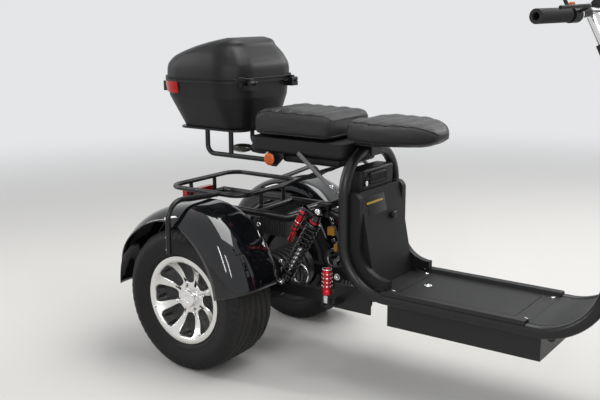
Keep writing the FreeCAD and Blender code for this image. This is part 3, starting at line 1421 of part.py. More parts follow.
doc.recompute()
for item in doc.Objects:
    if {"Invalid", "Error"} & set(item.State):
        raise ValueError(f"{item.Name} failed: {item.State}")
os.makedirs("parts", exist_ok=True)
for item in nodes:
    check(item)
    item.Shape.exportStep(os.path.join("parts", item.Label + ".step"))
print(len(nodes), "sub-parts written")
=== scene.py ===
"""Finishes, tyres, wheel faces, seats, fenders and fittings of an electric cargo trike, round its frame."""
import json
import math

import bmesh
import bpy
import numpy as np
from bpy.props import FloatProperty, FloatVectorProperty, IntProperty, PointerProperty
from bpy.types import Operator, Panel, PropertyGroup
from mathutils import Matrix, Vector
from mathutils.bvhtree import BVHTree


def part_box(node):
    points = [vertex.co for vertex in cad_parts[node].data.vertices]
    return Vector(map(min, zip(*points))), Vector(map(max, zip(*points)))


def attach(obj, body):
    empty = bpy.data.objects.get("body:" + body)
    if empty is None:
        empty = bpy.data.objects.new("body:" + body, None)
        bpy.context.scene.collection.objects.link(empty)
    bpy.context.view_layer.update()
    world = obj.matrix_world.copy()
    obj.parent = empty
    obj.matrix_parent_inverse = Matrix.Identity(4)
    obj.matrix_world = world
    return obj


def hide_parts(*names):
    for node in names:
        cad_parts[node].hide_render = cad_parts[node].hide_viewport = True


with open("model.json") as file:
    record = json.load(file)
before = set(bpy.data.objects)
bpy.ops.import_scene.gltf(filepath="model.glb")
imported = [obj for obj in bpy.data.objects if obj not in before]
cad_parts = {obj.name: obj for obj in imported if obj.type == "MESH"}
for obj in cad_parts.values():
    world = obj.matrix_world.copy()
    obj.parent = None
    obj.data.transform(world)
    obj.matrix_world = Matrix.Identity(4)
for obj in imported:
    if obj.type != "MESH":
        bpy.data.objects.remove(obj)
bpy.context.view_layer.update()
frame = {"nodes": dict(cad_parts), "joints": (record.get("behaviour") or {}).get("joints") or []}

bl_info = {
    "name": "Electric cargo trike",
    "version": (1, 0, 0),
    "blender": (4, 5, 0),
    "location": "View3D > Sidebar > Trike",
    "description": "Dresses the trike's frame with finishes, seats, tyres and small fittings",
    "category": "Object",
}

SIDES = (("right", -1), ("left", 1))
MM = 0.001
UP, FORWARDS, RIGHT = (0, 0, 1), (1, 0, 0), (0, -1, 0)
AXLE_X = sum(corner[0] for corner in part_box("rear_tyre_right")) / 2


# ---------------------------------------------------------------- places read from the frame

# Pieces are drawn in millimetres from the ground under the middle of the rear axle: x forwards, y to the
# left, z up. build() moves them into the frame, in metres.

def low_high(node):
    """The two corners of a node's box, as drawn."""
    return [(np.array(corner) - (AXLE_X, 0, 0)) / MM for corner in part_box(node)]


def middle(node):
    """The middle of a node's box, as drawn."""
    low, high = low_high(node)
    return (low + high) / 2


def in_frame(points):
    """Drawn points as points of the frame."""
    return np.array(points, float) * MM + (AXLE_X, 0, 0)


WHEELS = (
    # label, body, rim, tyre, which way the outer face looks along y
    ("rear_right", "rear_wheel_right", "rear_rim_right", "rear_tyre_right", -1),
    ("rear_left", "rear_wheel_left", "rear_rim_left", "rear_tyre_left", 1),
    ("front", "front_wheel", "front_rim", "front_tyre", -1),
)


# ---------------------------------------------------------------- sizes and colours

class TrikeSizes(PropertyGroup):
    """Sizes that shape the added pieces."""
    groove_depth: FloatProperty(name="Groove depth", description="Depth of the tyre's tread grooves",
                                default=0.0055, unit="LENGTH")
    groove_sweeps: IntProperty(name="Groove sweeps", description="Tread lines over one turn of the tyre",
                               default=8)
    shoulder_ticks: IntProperty(name="Shoulder ticks", description="Short cuts round each tyre shoulder",
                                default=60)
    window_count: IntProperty(name="Wheel windows", description="Openings round the wheel's face", default=8)
    coil_turns: IntProperty(name="Coil turns", description="Turns of each shock spring", default=12)
    pleat_depth: FloatProperty(name="Pleat depth", description="Depth of the channels sewn across the seats",
                               default=0.0042, unit="LENGTH")
    pleat_spacing: FloatProperty(name="Pleat spacing", description="Distance between sewn channels",
                                 default=0.050, unit="LENGTH")
    piping: FloatProperty(name="Piping", description="Radius of the piping round the seats",
                          default=0.0022, unit="LENGTH")
    puff: FloatProperty(name="Puff", description="Furthest that the padding swells", default=0.004,
                        unit="LENGTH")
    voxel: FloatProperty(name="Voxel", description="Cell of the seats' remesh", default=0.005, unit="LENGTH")


class TrikeFinish(PropertyGroup):
    """Colours of the finishes."""
    frame_black: FloatVectorProperty(name="Frame", description="Powder coat on the tubes", subtype="COLOR",
                                     default=(0.0080, 0.0080, 0.0085))
    lacquer: FloatVectorProperty(name="Fenders", description="Gloss lacquer", subtype="COLOR",
                                 default=(0.0035, 0.0038, 0.0050))
    moulding: FloatVectorProperty(name="Mouldings", description="Grained plastic", subtype="COLOR",
                                  default=(0.0075, 0.0075, 0.0080))
    leather: FloatVectorProperty(name="Seats", description="Synthetic leather", subtype="COLOR",
                                 default=(0.0095, 0.0095, 0.0100))
    rubber: FloatVectorProperty(name="Tyres", description="Tyre rubber", subtype="COLOR",
                                default=(0.0105, 0.0105, 0.0110))
    alloy: FloatVectorProperty(name="Wheels", description="Machined aluminium", subtype="COLOR",
                               default=(0.80, 0.79, 0.77))
    red: FloatVectorProperty(name="Red fittings", description="Red anodised aluminium", subtype="COLOR",
                             default=(0.50, 0.008, 0.016))
    amber: FloatVectorProperty(name="Turn lamps", description="Amber lens", subtype="COLOR",
                               default=(0.80, 0.13, 0.004))
    strut: FloatVectorProperty(name="Seat struts", description="Graphite paint", subtype="COLOR",
                               default=(0.13, 0.13, 0.135))
    floor: FloatVectorProperty(name="Floor", description="Studio floor", subtype="COLOR",
                               default=(0.70, 0.69, 0.67))


# ---------------------------------------------------------------- shader maths

class Wire:
    """A value in a material: arithmetic on it adds the Math nodes that work it out."""

    def __init__(self, finish, socket):
        self.finish, self.socket = finish, socket

    def math(self, operation, *values):
        return self.finish.node("Math", {"operation": operation}, dict(enumerate(values)))

    def sine(self):
        return self.math("SINE", self)

    def __add__(self, other):
        return self.math("ADD", self, other)

    def __sub__(self, other):
        return self.math("SUBTRACT", self, other)

    def __mul__(self, other):
        return self.math("MULTIPLY", self, other)

    def __truediv__(self, other):
        return self.math("DIVIDE", self, other)

    def __pow__(self, other):
        return self.math("POWER", self, other)

    def __radd__(self, other):
        return self.math("ADD", other, self)

    def __rsub__(self, other):
        return self.math("SUBTRACT", other, self)

    def __rmul__(self, other):
        return self.math("MULTIPLY", other, self)

    def between(self, low, high):
        """0 below low, 1 above high, and a smooth step between them."""
        return self.finish.node("MapRange", {"interpolation_type": "SMOOTHSTEP"},
                                {"Value": self, "From Min": low, "From Max": high})


class Nodes:
    """A node tree with one way to add a node."""

    def __init__(self, tree):
        self.tree = tree
        self.tree.nodes.clear()

    def node(self, kind, settings=None, sockets=None, output=0):
        """Add a node: settings first, then each socket's value or link; gives the wanted output."""
        made = self.tree.nodes.new("ShaderNode" + kind)
        for key, value in (settings or {}).items():
            setattr(made, key, value)
        for key, value in (sockets or {}).items():
            self.feed(made.inputs[key], value)
        return Wire(self, made.outputs[output]) if made.outputs else made

    def feed(self, socket, value):
        """Link a wire to a socket, or set the socket's own value; a colour gets a full alpha."""
        if isinstance(value, Wire):
            self.tree.links.new(value.socket, socket)
        elif socket.type == "RGBA":
            socket.default_value = (*tuple(value)[:3], 1)
        else:
            socket.default_value = value

    def seen_directly(self):
        """1 for rays from the camera and for those by way of a mirror or glass, 0 for all other light."""
        rays = self.node("LightPath").socket.node.outputs
        kinds = ("Camera", "Glossy", "Transmission")
        camera, glossy, glass = (Wire(self, rays[f"Is {kind} Ray"]) for kind in kinds)
        rays_seen = camera + glossy + glass
        return rays_seen.math("MINIMUM", rays_seen, 1.0)


class Finish(Nodes):
    """A material: a Principled surface, the nodes that feed it, and its coordinates."""

    def __init__(self, name, **constants):
        self.material = bpy.data.materials.new(name)
        self.material.use_nodes = True
        super().__init__(self.material.node_tree)
        self.shaded = self.node("BsdfPrincipled")
        self.output = self.node("OutputMaterial", sockets={"Surface": self.shaded})
        self.place = self.node("TexCoord", output="Object")
        for socket, value in constants.items():
            self.set(socket.replace("_", " ").title().replace("Ior", "IOR"), value)

    def set(self, socket, value):
        self.feed(self.shaded.socket.node.inputs[socket], value)

    def done(self, colour, roughness, height, distance, strength):
        """Feed the colour and the roughness, let the height raise the normal, and give the material."""
        self.set("Base Color", colour)
        self.set("Roughness", roughness)
        relief = {"Height": height, "Distance": distance, "Strength": strength}
        self.set("Normal", self.node("Bump", sockets=relief))
        return self.material

    def noise(self, scale, detail=2.0, roughness=0.5, at=None):
        """Soft noise over the piece's own coordinates, or over those given."""
        return self.node("TexNoise", sockets={"Vector": at or self.place, "Scale": scale, "Detail": detail,
                                              "Roughness": roughness})

    def cells(self, scale, feature="F1"):
        """The distance to the cells of a Voronoi pattern."""
        sockets = {"Vector": self.place, "Scale": scale}
        return self.node("TexVoronoi", {"feature": feature}, sockets, "Distance")

    def stretched(self, scale, centre=(0, 0, 0), turn=(0, 0, 0)):
        """The coordinates moved so that centre is at zero, turned, then scaled along each axis."""
        moved = self.node("VectorMath", {"operation": "SUBTRACT"}, {0: self.place, 1: tuple(centre)})
        sockets = {"Vector": moved, "Rotation": turn, "Scale": scale}
        return self.node("Mapping", {"vector_type": "POINT"}, sockets)

    def axes(self, at=None):
        """The three coordinates, one value each."""
        split = self.node("SeparateXYZ", sockets={0: at or self.place})
        return [Wire(self, output) for output in split.socket.node.outputs]

    def from_axle(self, centre):
        """The distance from an axle along y through the centre."""
        x, _, z = self.axes(self.stretched((1, 1, 1), centre))
        return (x * x + z * z) ** 0.5

    def mixed(self, share, first, second):
        return self.node("Mix", {"data_type": "RGBA"}, {0: share, 6: first, 7: second}, 2)


def shade(colour, factor):
    """A colour made darker or lighter."""
    return tuple(min(1.0, value * factor) for value in colour)


def powder_coat(name, colour, roughness=0.34):
    """Satin powder coat: fine orange peel, and a sheen that drifts a little from place to place."""
    finish = Finish(name, coat_weight=0.12, coat_roughness=0.25, specular_ior_level=0.3)
    drift = finish.noise(9, 4)
    peel = finish.noise(520, 3)
    scuff = finish.noise(60, 6, 0.7).between(0.62, 0.78)
    return finish.done(finish.mixed(scuff * 0.35, colour, shade(colour, 2.4)),
                       roughness - 0.06 + drift * 0.14 + scuff * 0.08, peel, 0.0004, 0.35)


def gloss_lacquer(name, colour):
    """Wet-looking black lacquer over a moulding: mirror gloss, slight waviness and a film of dust."""
    finish = Finish(name, coat_roughness=0.03, coat_ior=1.34, specular_ior_level=0.3)
    wave = finish.noise(14, 2)
    dust = finish.noise(260, 5, 0.75).between(0.56, 0.80)
    smear = finish.noise(11, 5, 0.65).between(0.45, 0.75)
    finish.set("Coat Weight", 1.0 - dust * 0.35)
    return finish.done(finish.mixed(dust * 0.03 + smear * 0.015, colour, (0.16, 0.15, 0.14)),
                       0.05 + smear * 0.10 + dust * 0.12, wave, 0.0012, 0.25)


def grained_plastic(name, colour, grain=620.0, roughness=0.50, depth=0.00035):
    """Injection-moulded plastic with a pebbled grain: rounded cells with finer noise on them."""
    finish = Finish(name, specular_ior_level=0.24)
    cell = finish.cells(grain)
    fine = finish.noise(grain * 2.2, 2)
    drift = finish.noise(5, 4)
    worn = finish.noise(26, 6, 0.7).between(0.55, 0.80)
    return finish.done(finish.mixed(worn * 0.30 + cell * 0.25, colour, shade(colour, 1.9)),
                       roughness - 0.05 + drift * 0.12 - worn * 0.06, cell * cell + fine * 0.25, depth, 0.8)


def synthetic_leather(name, colour):
    """Coated upholstery: a leather grain of creased cells with soft wrinkles under it."""
    finish = Finish(name, specular_ior_level=0.36)
    cell = finish.cells(430, "DISTANCE_TO_EDGE").between(0.0, 0.22)
    wrinkle = finish.noise(38, 5, 0.62)
    rub = finish.noise(12, 5, 0.7).between(0.48, 0.75)
    return finish.done(finish.mixed(cell * 0.5 + rub * 0.3, shade(colour, 0.7), shade(colour, 1.7)),
                       0.44 - rub * 0.10 - cell * 0.06, cell * 0.5 + wrinkle * 1.1, 0.0011, 0.75)


def tyre_rubber(name, colour, centre):
    """Tyre rubber: moulding lines round the wall, and dust that gathers towards the tread."""
    finish = Finish(name, specular_ior_level=0.2)
    radius = finish.from_axle(centre)
    rings = (radius * 900.0).sine()
    wall = 1 - radius.between(0.205, 0.212)
    dust = finish.noise(34, 6, 0.72).between(0.42, 0.75)
    worn = radius.between(0.219, 0.229)
    return finish.done(finish.mixed(dust * 0.22 + worn * 0.2, colour, (0.050, 0.047, 0.040)),
                       0.62 + dust * 0.16 - wall * 0.05,
                       rings * wall * 0.25 + finish.noise(900, 3) * 0.5, 0.0003, 0.6)


def machined_alloy(name, colour, centre):
    """Turned aluminium under clear coat: fine tool rings round the hub and faint milky patches."""
    finish = Finish(name, coat_weight=0.5, coat_roughness=0.08, metallic=1.0)
    across_rings = finish.node("CombineXYZ", sockets={"X": finish.from_axle(centre) * 1400.0})
    rings = finish.noise(1.0, 3, 0.6, across_rings)
    patch = finish.noise(16, 4).between(0.40, 0.72)
    return finish.done(finish.mixed(rings * 0.35 + patch * 0.2, colour, shade(colour, 0.74)),
                       0.17 + patch * 0.10 + rings * 0.10, rings, 0.00012, 0.5)


def bright_metal(name, colour, roughness):
    """Chrome or zinc: bright, with faint handling marks."""
    finish = Finish(name, metallic=1.0)
    marks = finish.noise(70, 5, 0.7).between(0.50, 0.78)
    return finish.done(finish.mixed(marks * 0.5, colour, shade(colour, 0.72)),
                       roughness + marks * 0.14, finish.noise(600, 2), 0.0001, 0.2)


def anodised(name, colour):
    """Anodised aluminium: coloured metal with fine turning lines and paler rubbed spots."""
    finish = Finish(name, metallic=0.85, coat_weight=0.3, coat_roughness=0.15)
    rub = finish.noise(120, 5, 0.7).between(0.55, 0.80)
    lines = finish.noise(1.0, 2, 0.5, finish.stretched((60, 60, 2600)))
    return finish.done(finish.mixed(rub * 0.35, colour, shade(colour, 1.5)), 0.22 + lines * 0.14,
                       lines, 0.0001, 0.4)


def lens(name, colour, ribs=900.0, clear=0.0):
    """A moulded lens: a lattice of ribs, sin(ribs y) + sin(ribs z), under a glossy skin."""
    finish = Finish(name, transmission_weight=0.15 + clear, ior=1.49, coat_weight=0.25, coat_roughness=0.04,
                    specular_ior_level=0.35)
    _, y, z = finish.axes()
    wave = (y * ribs).sine() + (z * ribs).sine()
    return finish.done(finish.mixed(wave * 0.2 + 0.4, colour, shade(colour, 0.6)),
                       0.10 + finish.noise(80, 4) * 0.10, wave, 0.0004, 0.5)


def cast_metal(name, colour):
    """Painted casting: sandy surface with darker pores."""
    finish = Finish(name, metallic=0.35)
    sand = finish.noise(420, 5, 0.7)
    grime = finish.noise(22, 5, 0.7).between(0.40, 0.75)
    return finish.done(finish.mixed(grime * 0.6, colour, shade(colour, 0.45)), 0.48 + grime * 0.22,
                       sand, 0.0006, 0.6)


def soft_rubber(name, colour):
    """Moulded rubber: matte with a fine cross grain."""
    finish = Finish(name, specular_ior_level=0.25)
    grain = finish.cells(500.0)
    return finish.done(finish.mixed(grain * 0.5, colour, shade(colour, 1.6)),
                       0.66 + finish.noise(40, 4) * 0.14, grain, 0.0004, 0.6)


MATERIALS = {}


def prepare_finishes(colours):
    """Make every finish once, keyed by a plain name."""
    MATERIALS.update(
        frame=powder_coat("frame_powder_coat", colours.frame_black),
        strut=powder_coat("strut_graphite", colours.strut, 0.30),
        sheet=powder_coat("sheet_steel_black", shade(colours.frame_black, 1.2), 0.46),
        fork=powder_coat("fork_black", shade(colours.frame_black, 0.8), 0.26),
        lacquer=gloss_lacquer("fender_lacquer", colours.lacquer),
        moulding=grained_plastic("deck_plastic", colours.moulding, 700, 0.52, 0.00030),
        case=grained_plastic("case_plastic", shade(colours.moulding, 0.95), 820, 0.40, 0.00022),
        battery=grained_plastic("battery_plastic", shade(colours.moulding, 1.2), 900, 0.46, 0.0002),
        switch=grained_plastic("switch_plastic", shade(colours.moulding, 0.9), 1100, 0.42, 0.0002),
        leather=synthetic_leather("seat_leather", colours.leather),
        cast=cast_metal("motor_casting", (0.035, 0.035, 0.037)),
        damper=bright_metal("damper_black", (0.05, 0.05, 0.055), 0.22),
        coil=powder_coat("spring_black", shade(colours.frame_black, 0.9), 0.20),
        grip=soft_rubber("grip_rubber", (0.018, 0.018, 0.018)),
        chrome=bright_metal("chrome", (0.80, 0.80, 0.81), 0.06),
        zinc=bright_metal("zinc_bolts", (0.60, 0.60, 0.61), 0.24),
        red=anodised("red_anodised", colours.red),
        amber=lens("amber_lens", colours.amber),
        red_lens=lens("red_lens", (0.62, 0.006, 0.004)),
        clear=lens("clear_lens", (0.92, 0.93, 0.95), 500.0, 0.5),
        reflector=anodised("red_reflector", (0.46, 0.014, 0.010)),
        label=grained_plastic("blank_label", (0.010, 0.010, 0.010), 1500, 0.28, 0.00004),
        stripe=grained_plastic("yellow_stripe", (0.62, 0.40, 0.03), 1500, 0.35, 0.00004),
        smoke=lens("smoked_lens", (0.035, 0.036, 0.026), 520.0),
        terminal=grained_plastic("terminal_plastic", (0.28, 0.13, 0.018), 1100, 0.42, 0.0001),
    )
    for label, _, _, tyre_node, _ in WHEELS:
        hub = in_frame(middle(tyre_node))
        MATERIALS["rubber_" + label] = tyre_rubber("tyre_rubber_" + label, colours.rubber, hub)
        MATERIALS["alloy_" + label] = machined_alloy("machined_alloy_" + label, colours.alloy, hub)


NODE_FINISHES = {
    "frame": "main_loop_right main_loop_left cross_tubes steering_head rear_frame case_carrier luggage_rack"
             " fender_hoops swing_arm steering_stem upper_clamp handlebar",
    "strut": "seat_struts",
    "sheet": "battery_box seat_bracket pivot_plates",
    "fork": "fork_outer_tubes",
    "lacquer": "rear_fender_right rear_fender_left front_fender",
    "moulding": "loop_trims deck_panel deck_hatch front_riser bay_fairing seat_tray",
    "case": "case_base case_lid",
    "battery": "battery_pack",
    "switch": "bar_controls mirrors dash_display",
    "leather": "passenger_seat driver_seat",
    "cast": "drive_motor",
    "damper": "shock_dampers",
    "coil": "shock_springs",
    "grip": "hand_grips",
    "chrome": "fork_lower_legs bar_risers headlamp_shell",
    "red": "foot_peg_right foot_peg_left",
    "amber": "rear_turn_lamps front_turn_lamps",
    "red_lens": "tail_lamp",
    "clear": "headlamp_lens",
    "rubber_rear_right": "rear_tyre_right",
    "rubber_rear_left": "rear_tyre_left",
    "rubber_front": "front_tyre",
    "alloy_rear_right": "rear_rim_right",
    "alloy_rear_left": "rear_rim_left",
    "alloy_front": "front_rim",
}


def dress(piece, finish):
    """Give a piece one finish in place of what it has."""
    piece.data.materials.clear()
    piece.data.materials.append(MATERIALS[finish])


class TRIKE_OT_finishes(Operator):
    """Make the finishes and give each frame node its own"""
    bl_idname = "trike.finishes"
    bl_label = "Finishes"

    def execute(self, context):
        prepare_finishes(context.scene.trike_finish)
        for finish, nodes in NODE_FINISHES.items():
            for node in nodes.split():
                dress(frame["nodes"][node], finish)
        return {"FINISHED"}


# ---------------------------------------------------------------- surfaces

def quads(rows, columns, around=False, along=False):
    """Corner numbers of the squares between neighbouring grid points; around joins the last column to
    the first, along joins the last row to the first."""
    index = np.arange(rows * columns).reshape(rows, columns)
    if along:
        index = np.vstack([index, index[:1]])
    if around:
        index = np.hstack([index, index[:, :1]])
    return np.stack([index[:-1, :-1], index[:-1, 1:], index[1:, 1:], index[1:, :-1]], -1).reshape(-1, 4)


def grid(points, around=True, along=False):
    """A grid of points with its squares, as one part for build()."""
    return points.reshape(-1, 3), quads(*points.shape[:2], around=around, along=along)


def build(name, parts, smooth_angle=40):
    """One mesh object from drawn (points, squares) parts: doubles merged, faces outwards, smooth up to an
    angle."""
    starts = np.cumsum([0] + [len(points) for points, _ in parts[:-1]])
    points = in_frame(np.concatenate([points for points, _ in parts])).astype(np.float32)
    faces = np.concatenate([faces + start for (_, faces), start in zip(parts, starts)]).astype(np.int32)
    mesh = bpy.data.meshes.new(name)
    mesh.vertices.add(len(points))
    mesh.vertices.foreach_set("co", points.ravel())
    mesh.loops.add(faces.size)
    mesh.loops.foreach_set("vertex_index", faces.ravel())
    mesh.polygons.add(len(faces))
    mesh.polygons.foreach_set("loop_start", np.arange(0, faces.size, 4, dtype=np.int32))
    mesh.update(calc_edges=True)
    made = bmesh.new()
    made.from_mesh(mesh)
    bmesh.ops.remove_doubles(made, verts=made.verts, dist=1e-5)
    bmesh.ops.recalc_face_normals(made, faces=made.faces)
    made.to_mesh(mesh)
    made.free()
    mesh.polygons.foreach_set("use_smooth", np.ones(len(mesh.polygons), bool))
    mesh.set_sharp_from_angle(angle=math.radians(smooth_angle))
    piece = bpy.data.objects.new(name, mesh)
    bpy.context.scene.collection.objects.link(piece)
    return piece


def settle(piece, finish, body, stands_for=()):
    """Finish and body of a piece that is in its place."""
    dress(piece, finish)
    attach(piece, body)
    if stands_for:
        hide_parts(*stands_for)
    return piece


def unit(way):
    """Directions of length 1."""
    way = np.array(way, float)
    return way / np.linalg.norm(way, axis=-1, keepdims=True)


def frame_round(way):
    """Three unit directions: two across the way, then the way itself."""
    way = unit(way)
    up = (1, 0, 0) if abs(way[2]) > 0.95 else (0, 0, 1)
    side = unit(np.cross(up, way))
    return np.stack([side, np.cross(way, side), way])


def smooth_step(value, low, high):
    """0 below low, 1 above high, and a cubic step between them."""
    share = np.clip((value - low) / (high - low), 0, 1)
    return share * share * (3 - 2 * share)


def hill(value, width):
    """A bell that is 1 at zero and falls off over the width."""
    return np.exp(-(value / width) ** 2)


def softened(corners, cut, steps=5, closed=False):
    """A path with its corners rounded: at each, a quadratic curve from the cut before it to the one after."""
    corners = np.array(corners, float)

    def towards(other):
        """The point a cut's length from each corner, on the way to its neighbour."""
        away = other - corners
        length = np.linalg.norm(away, axis=1, keepdims=True)
        return (corners + away * np.minimum(cut / np.maximum(length, 1e-9), 0.48))[:, None]

    share = np.linspace(0, 1, steps)[None, :, None]
    start, end = towards(np.roll(corners, 1, 0)), towards(np.roll(corners, -1, 0))
    curves = start * (1 - share) ** 2 + 2 * corners[:, None] * share * (1 - share) + end * share ** 2
    if closed:
        return curves.reshape(-1, corners.shape[1])
    return np.concatenate([corners[:1], curves[1:-1].reshape(-1, corners.shape[1]), corners[-1:]])


def resampled(points, count):
    """The same path with its points evenly spaced by length."""
    points = np.array(points, float)
    along = np.concatenate([[0], np.cumsum(np.linalg.norm(np.diff(points, axis=0), axis=1))])
    wanted = np.linspace(0, along[-1], count)
    return np.stack([np.interp(wanted, along, column) for column in points.T], -1)


def lathe(profile, place, way, count=40, closed=False):
    """A turned part: each (radius, height) of the profile goes once round the axis that leaves the place
    along the way."""
    side, across, along = frame_round(way)
    profile = np.array(profile, float)
    turn = np.linspace(0, 2 * np.pi, count, endpoint=False)
    ring = np.cos(turn)[:, None] * side + np.sin(turn)[:, None] * across
    points = np.array(place, float) + profile[:, 0, None, None] * ring + profile[:, 1, None, None] * along
    return grid(points, along=closed)


def rod(start, end, radius, count=16, edge=0.6):
    """A round bar between two points, its end edges broken."""
    start, end = np.array(start, float), np.array(end, float)
    length = np.linalg.norm(end - start)
    profile = [(0, 0), (radius - edge, 0), (radius, edge), (radius, length - edge), (radius - edge, length),
               (0, length)]
    return lathe(profile, start, end - start, count)


def circle(radius, count):
    """Points round a circle: the cosine and the sine of each turn."""
    turn = np.linspace(0, 2 * np.pi, count, endpoint=False)
    return radius * np.stack([np.cos(turn), np.sin(turn)], -1)


def sweep(path, outline, up=(0, 0, 1), closed=False):
    """An outline of (across, up) points carried along a path; open ends are closed to their centres."""
    path, outline = np.array(path, float), np.array(outline, float)
    if closed:
        way = unit(np.roll(path, -1, 0) - np.roll(path, 1, 0))
    else:
        way = unit(np.gradient(path, axis=0))
    side = unit(np.cross(np.broadcast_to(up, way.shape), way))
    top = np.cross(way, side)
    points = path[:, None] + outline[None, :, :1] * side[:, None] + outline[None, :, 1:] * top[:, None]
    if not closed:
        ends = [np.repeat(path[end][None, None], len(outline), 1) for end in (0, -1)]
        points = np.concatenate([ends[0], points, ends[1]])
    return grid(points, along=closed)


def block(low, high, radius=1.5, steps=4, place=(0, 0, 0), axes=None):
    """A box with rounded edges: every direction of a ball, moved out to the centre of its own corner."""
    low, high = np.array(low, float), np.array(high, float)
    reach = (high - low) / 2 - radius
    quarter = np.radians(np.linspace(0, 90, steps))
    turn = np.concatenate([quarter + k * np.pi / 2 for k in range(4)])[None, :]
    lift = np.concatenate([quarter - np.pi / 2, quarter])[:, None]
    way = np.stack([np.cos(lift) * np.cos(turn), np.cos(lift) * np.sin(turn), np.sin(lift) + 0 * turn], -1)
    signs = np.stack([np.broadcast_to(np.repeat((1, -1, -1, 1), steps), way.shape[:2]),
                      np.broadcast_to(np.repeat((1, 1, -1, -1), steps), way.shape[:2]),
                      np.broadcast_to(np.repeat((-1, 1), steps)[:, None], way.shape[:2])], -1)
    points = signs * reach + radius * way
    ends = [np.zeros((1, points.shape[1], 3)) + (0, 0, sign * (reach[2] + radius)) for sign in (-1, 1)]
    points = np.concatenate([ends[0], points, ends[1]]) + (low + high) / 2
    if axes is not None:
        points = points @ np.array(axes, float)
    return grid(points + np.array(place, float))


def mirrored(parts):
    """The same parts on the other side of the trike."""
    return [(points * (1, -1, 1), squares) for points, squares in parts]


def both_sides(parts):
    """The parts and their mirror images."""
    return parts + mirrored(parts)


def hexagon_nut(place, way, radius, height):
    """A nut on its bolt's end: six flats with a chamfered face, and the threaded end inside it."""
    flats = [(0, 0), (radius, 0), (radius, height - 1.5), (radius * 0.88, height), (radius * 0.5, height)]
    thread = [(radius * 0.5, height - 1), (radius * 0.5, height + 3), (radius * 0.38, height + 4),
              (0, height + 4)]
    washer = [(0, -0.5), (radius * 1.25, -0.5), (radius * 1.25, 1), (radius, 1.2)]
    return [lathe(flats, place, way, 6), lathe(thread, place, way, 16), lathe(washer, place, way, 24)]


def dome_bolt(place, way, radius, height):
    """A button-head screw: a quarter-round dome with a six-sided recess in its middle."""
    lift = np.radians(np.linspace(0, 62, 6))
    dome = [(0, 0), (radius, 0), *np.stack([radius * np.cos(lift), 0.6 + height * np.sin(lift)], -1)]
    top = dome[-1][1]
    recess = [(dome[-1][0], top), (radius * 0.42, top - 0.3), (radius * 0.38, top - height * 0.55),
              (0, top - height * 0.6)]
    return [lathe(dome, place, way, 24), lathe(recess, place, way, 6)]


# ---------------------------------------------------------------- wheels

def tyre(centre, half_width, radius, sizes):
    """The tyre: its section turned about the axle. Where the whole part of across / spacing - sweeps *
    turn changes, the crown sinks into a groove; short cuts ring the shoulders, and a rib rings each wall."""
    bead, crown, seat, shoulder, spacing = 127.0, radius, 76.0, 78.0, 26.0
    wall = [(bead, -seat), (143, -seat), (148, -84), (195.5, -half_width), (crown - 12, -88),
            (crown - 3, -shoulder)]
    tread = [(crown - 3, -shoulder), (crown - 0.8, -45), (crown, 0), (crown - 0.8, 45), (crown - 3, shoulder)]
    section = np.concatenate([resampled(softened(wall, 18), 26)[:-1], resampled(softened(tread, 14), 84)[:-1],
                              resampled(softened(wall[::-1], 18), 26)[:-1] * (1, -1),
                              resampled([(bead, seat), (bead, -seat)], 5)[:-1]])
    height, across = section[:, 0, None], section[:, 1, None]
    turn = np.linspace(0, 2 * np.pi, 400, endpoint=False)[None, :]
    depth = sizes.groove_depth / MM
    side = np.abs(across)
    phase = side / spacing - sizes.groove_sweeps * turn / (2 * np.pi)
    near = np.abs(phase - np.round(phase)) * spacing
    outside = height > bead + 60
    groove = (1 - smooth_step(near, 2.2, 4.2)) * (1 - smooth_step(side, shoulder - 2, shoulder + 4)) * outside
    centre_line = (1 - smooth_step(side, 1.4, 3.0)) * outside
    tick = turn * sizes.shoulder_ticks / (2 * np.pi)
    ticks = 1 - smooth_step(np.abs(tick - np.round(tick)), 0.10, 0.18)
    ticks = ticks * smooth_step(side, 80, 83) * (1 - smooth_step(side, 95, 98)) * (height > bead + 72)
    rim_rib = 1.8 * hill(height - 155, 3.0) + 0.8 * hill(height - 172, 1.2)
    lifted = height - depth * np.maximum(np.maximum(groove, 0.7 * centre_line), 0.5 * ticks)
    outward = across * (1 + rim_rib / half_width * (height > bead + 18))
    points = np.stack([centre[0] + lifted * np.sin(turn), centre[1] + outward + 0 * turn,
                       centre[2] + lifted * np.cos(turn)], -1)
    return grid(points, along=True)


class TRIKE_OT_tyres(Operator):
    """Turn the three tyres with their tread"""
    bl_idname = "trike.tyres"
    bl_label = "Tyres"

    def execute(self, context):
        for label, body, _, node, _ in WHEELS:
            low, high = low_high(node)
            part = tyre((low + high) / 2, (high[1] - low[1]) / 2, (high[2] - low[2]) / 2,
                        context.scene.trike_sizes)
            piece = build("tyre_" + label, [part], 50)
            settle(piece, "rubber_" + label, body, [node])
        return {"FINISHED"}


# How far the cap, the plateau round the nuts and the rim's lip stand out from the wheel's middle plane, the
# radius of the windows' middle, and the radius and the turns of the nuts.
CAP, PLATEAU, LIP = 62.0, 46.0, 82.0
WINDOW_MIDDLE = 86.0
NUT_CIRCLE = 49.0
NUT_TURNS = np.radians(22.5 + 90 * np.arange(4))


def face_height(x, z):
    """How far the wheel's face stands out: a flat plateau at the hub, a dish that rises to the rim with the
    2.4th power of the radius, a flat lip, and a long scoop round each nut."""
    radius = np.hypot(x, z)
    dish = PLATEAU + 34 * (np.clip(radius - 44, 0, 81) / 81) ** 2.4
    dish = dish + 2 * smooth_step(radius, 126, 129)
    scoop = 0
    for angle in NUT_TURNS:
        along, aside = x * np.cos(angle) + z * np.sin(angle), z * np.cos(angle) - x * np.sin(angle)
        away = np.hypot(along - np.clip(along, NUT_CIRCLE - 7, NUT_CIRCLE + 7), aside)
        scoop = scoop + 1 - smooth_step(away, 5.5, 8.5)
    return dish - 7 * scoop


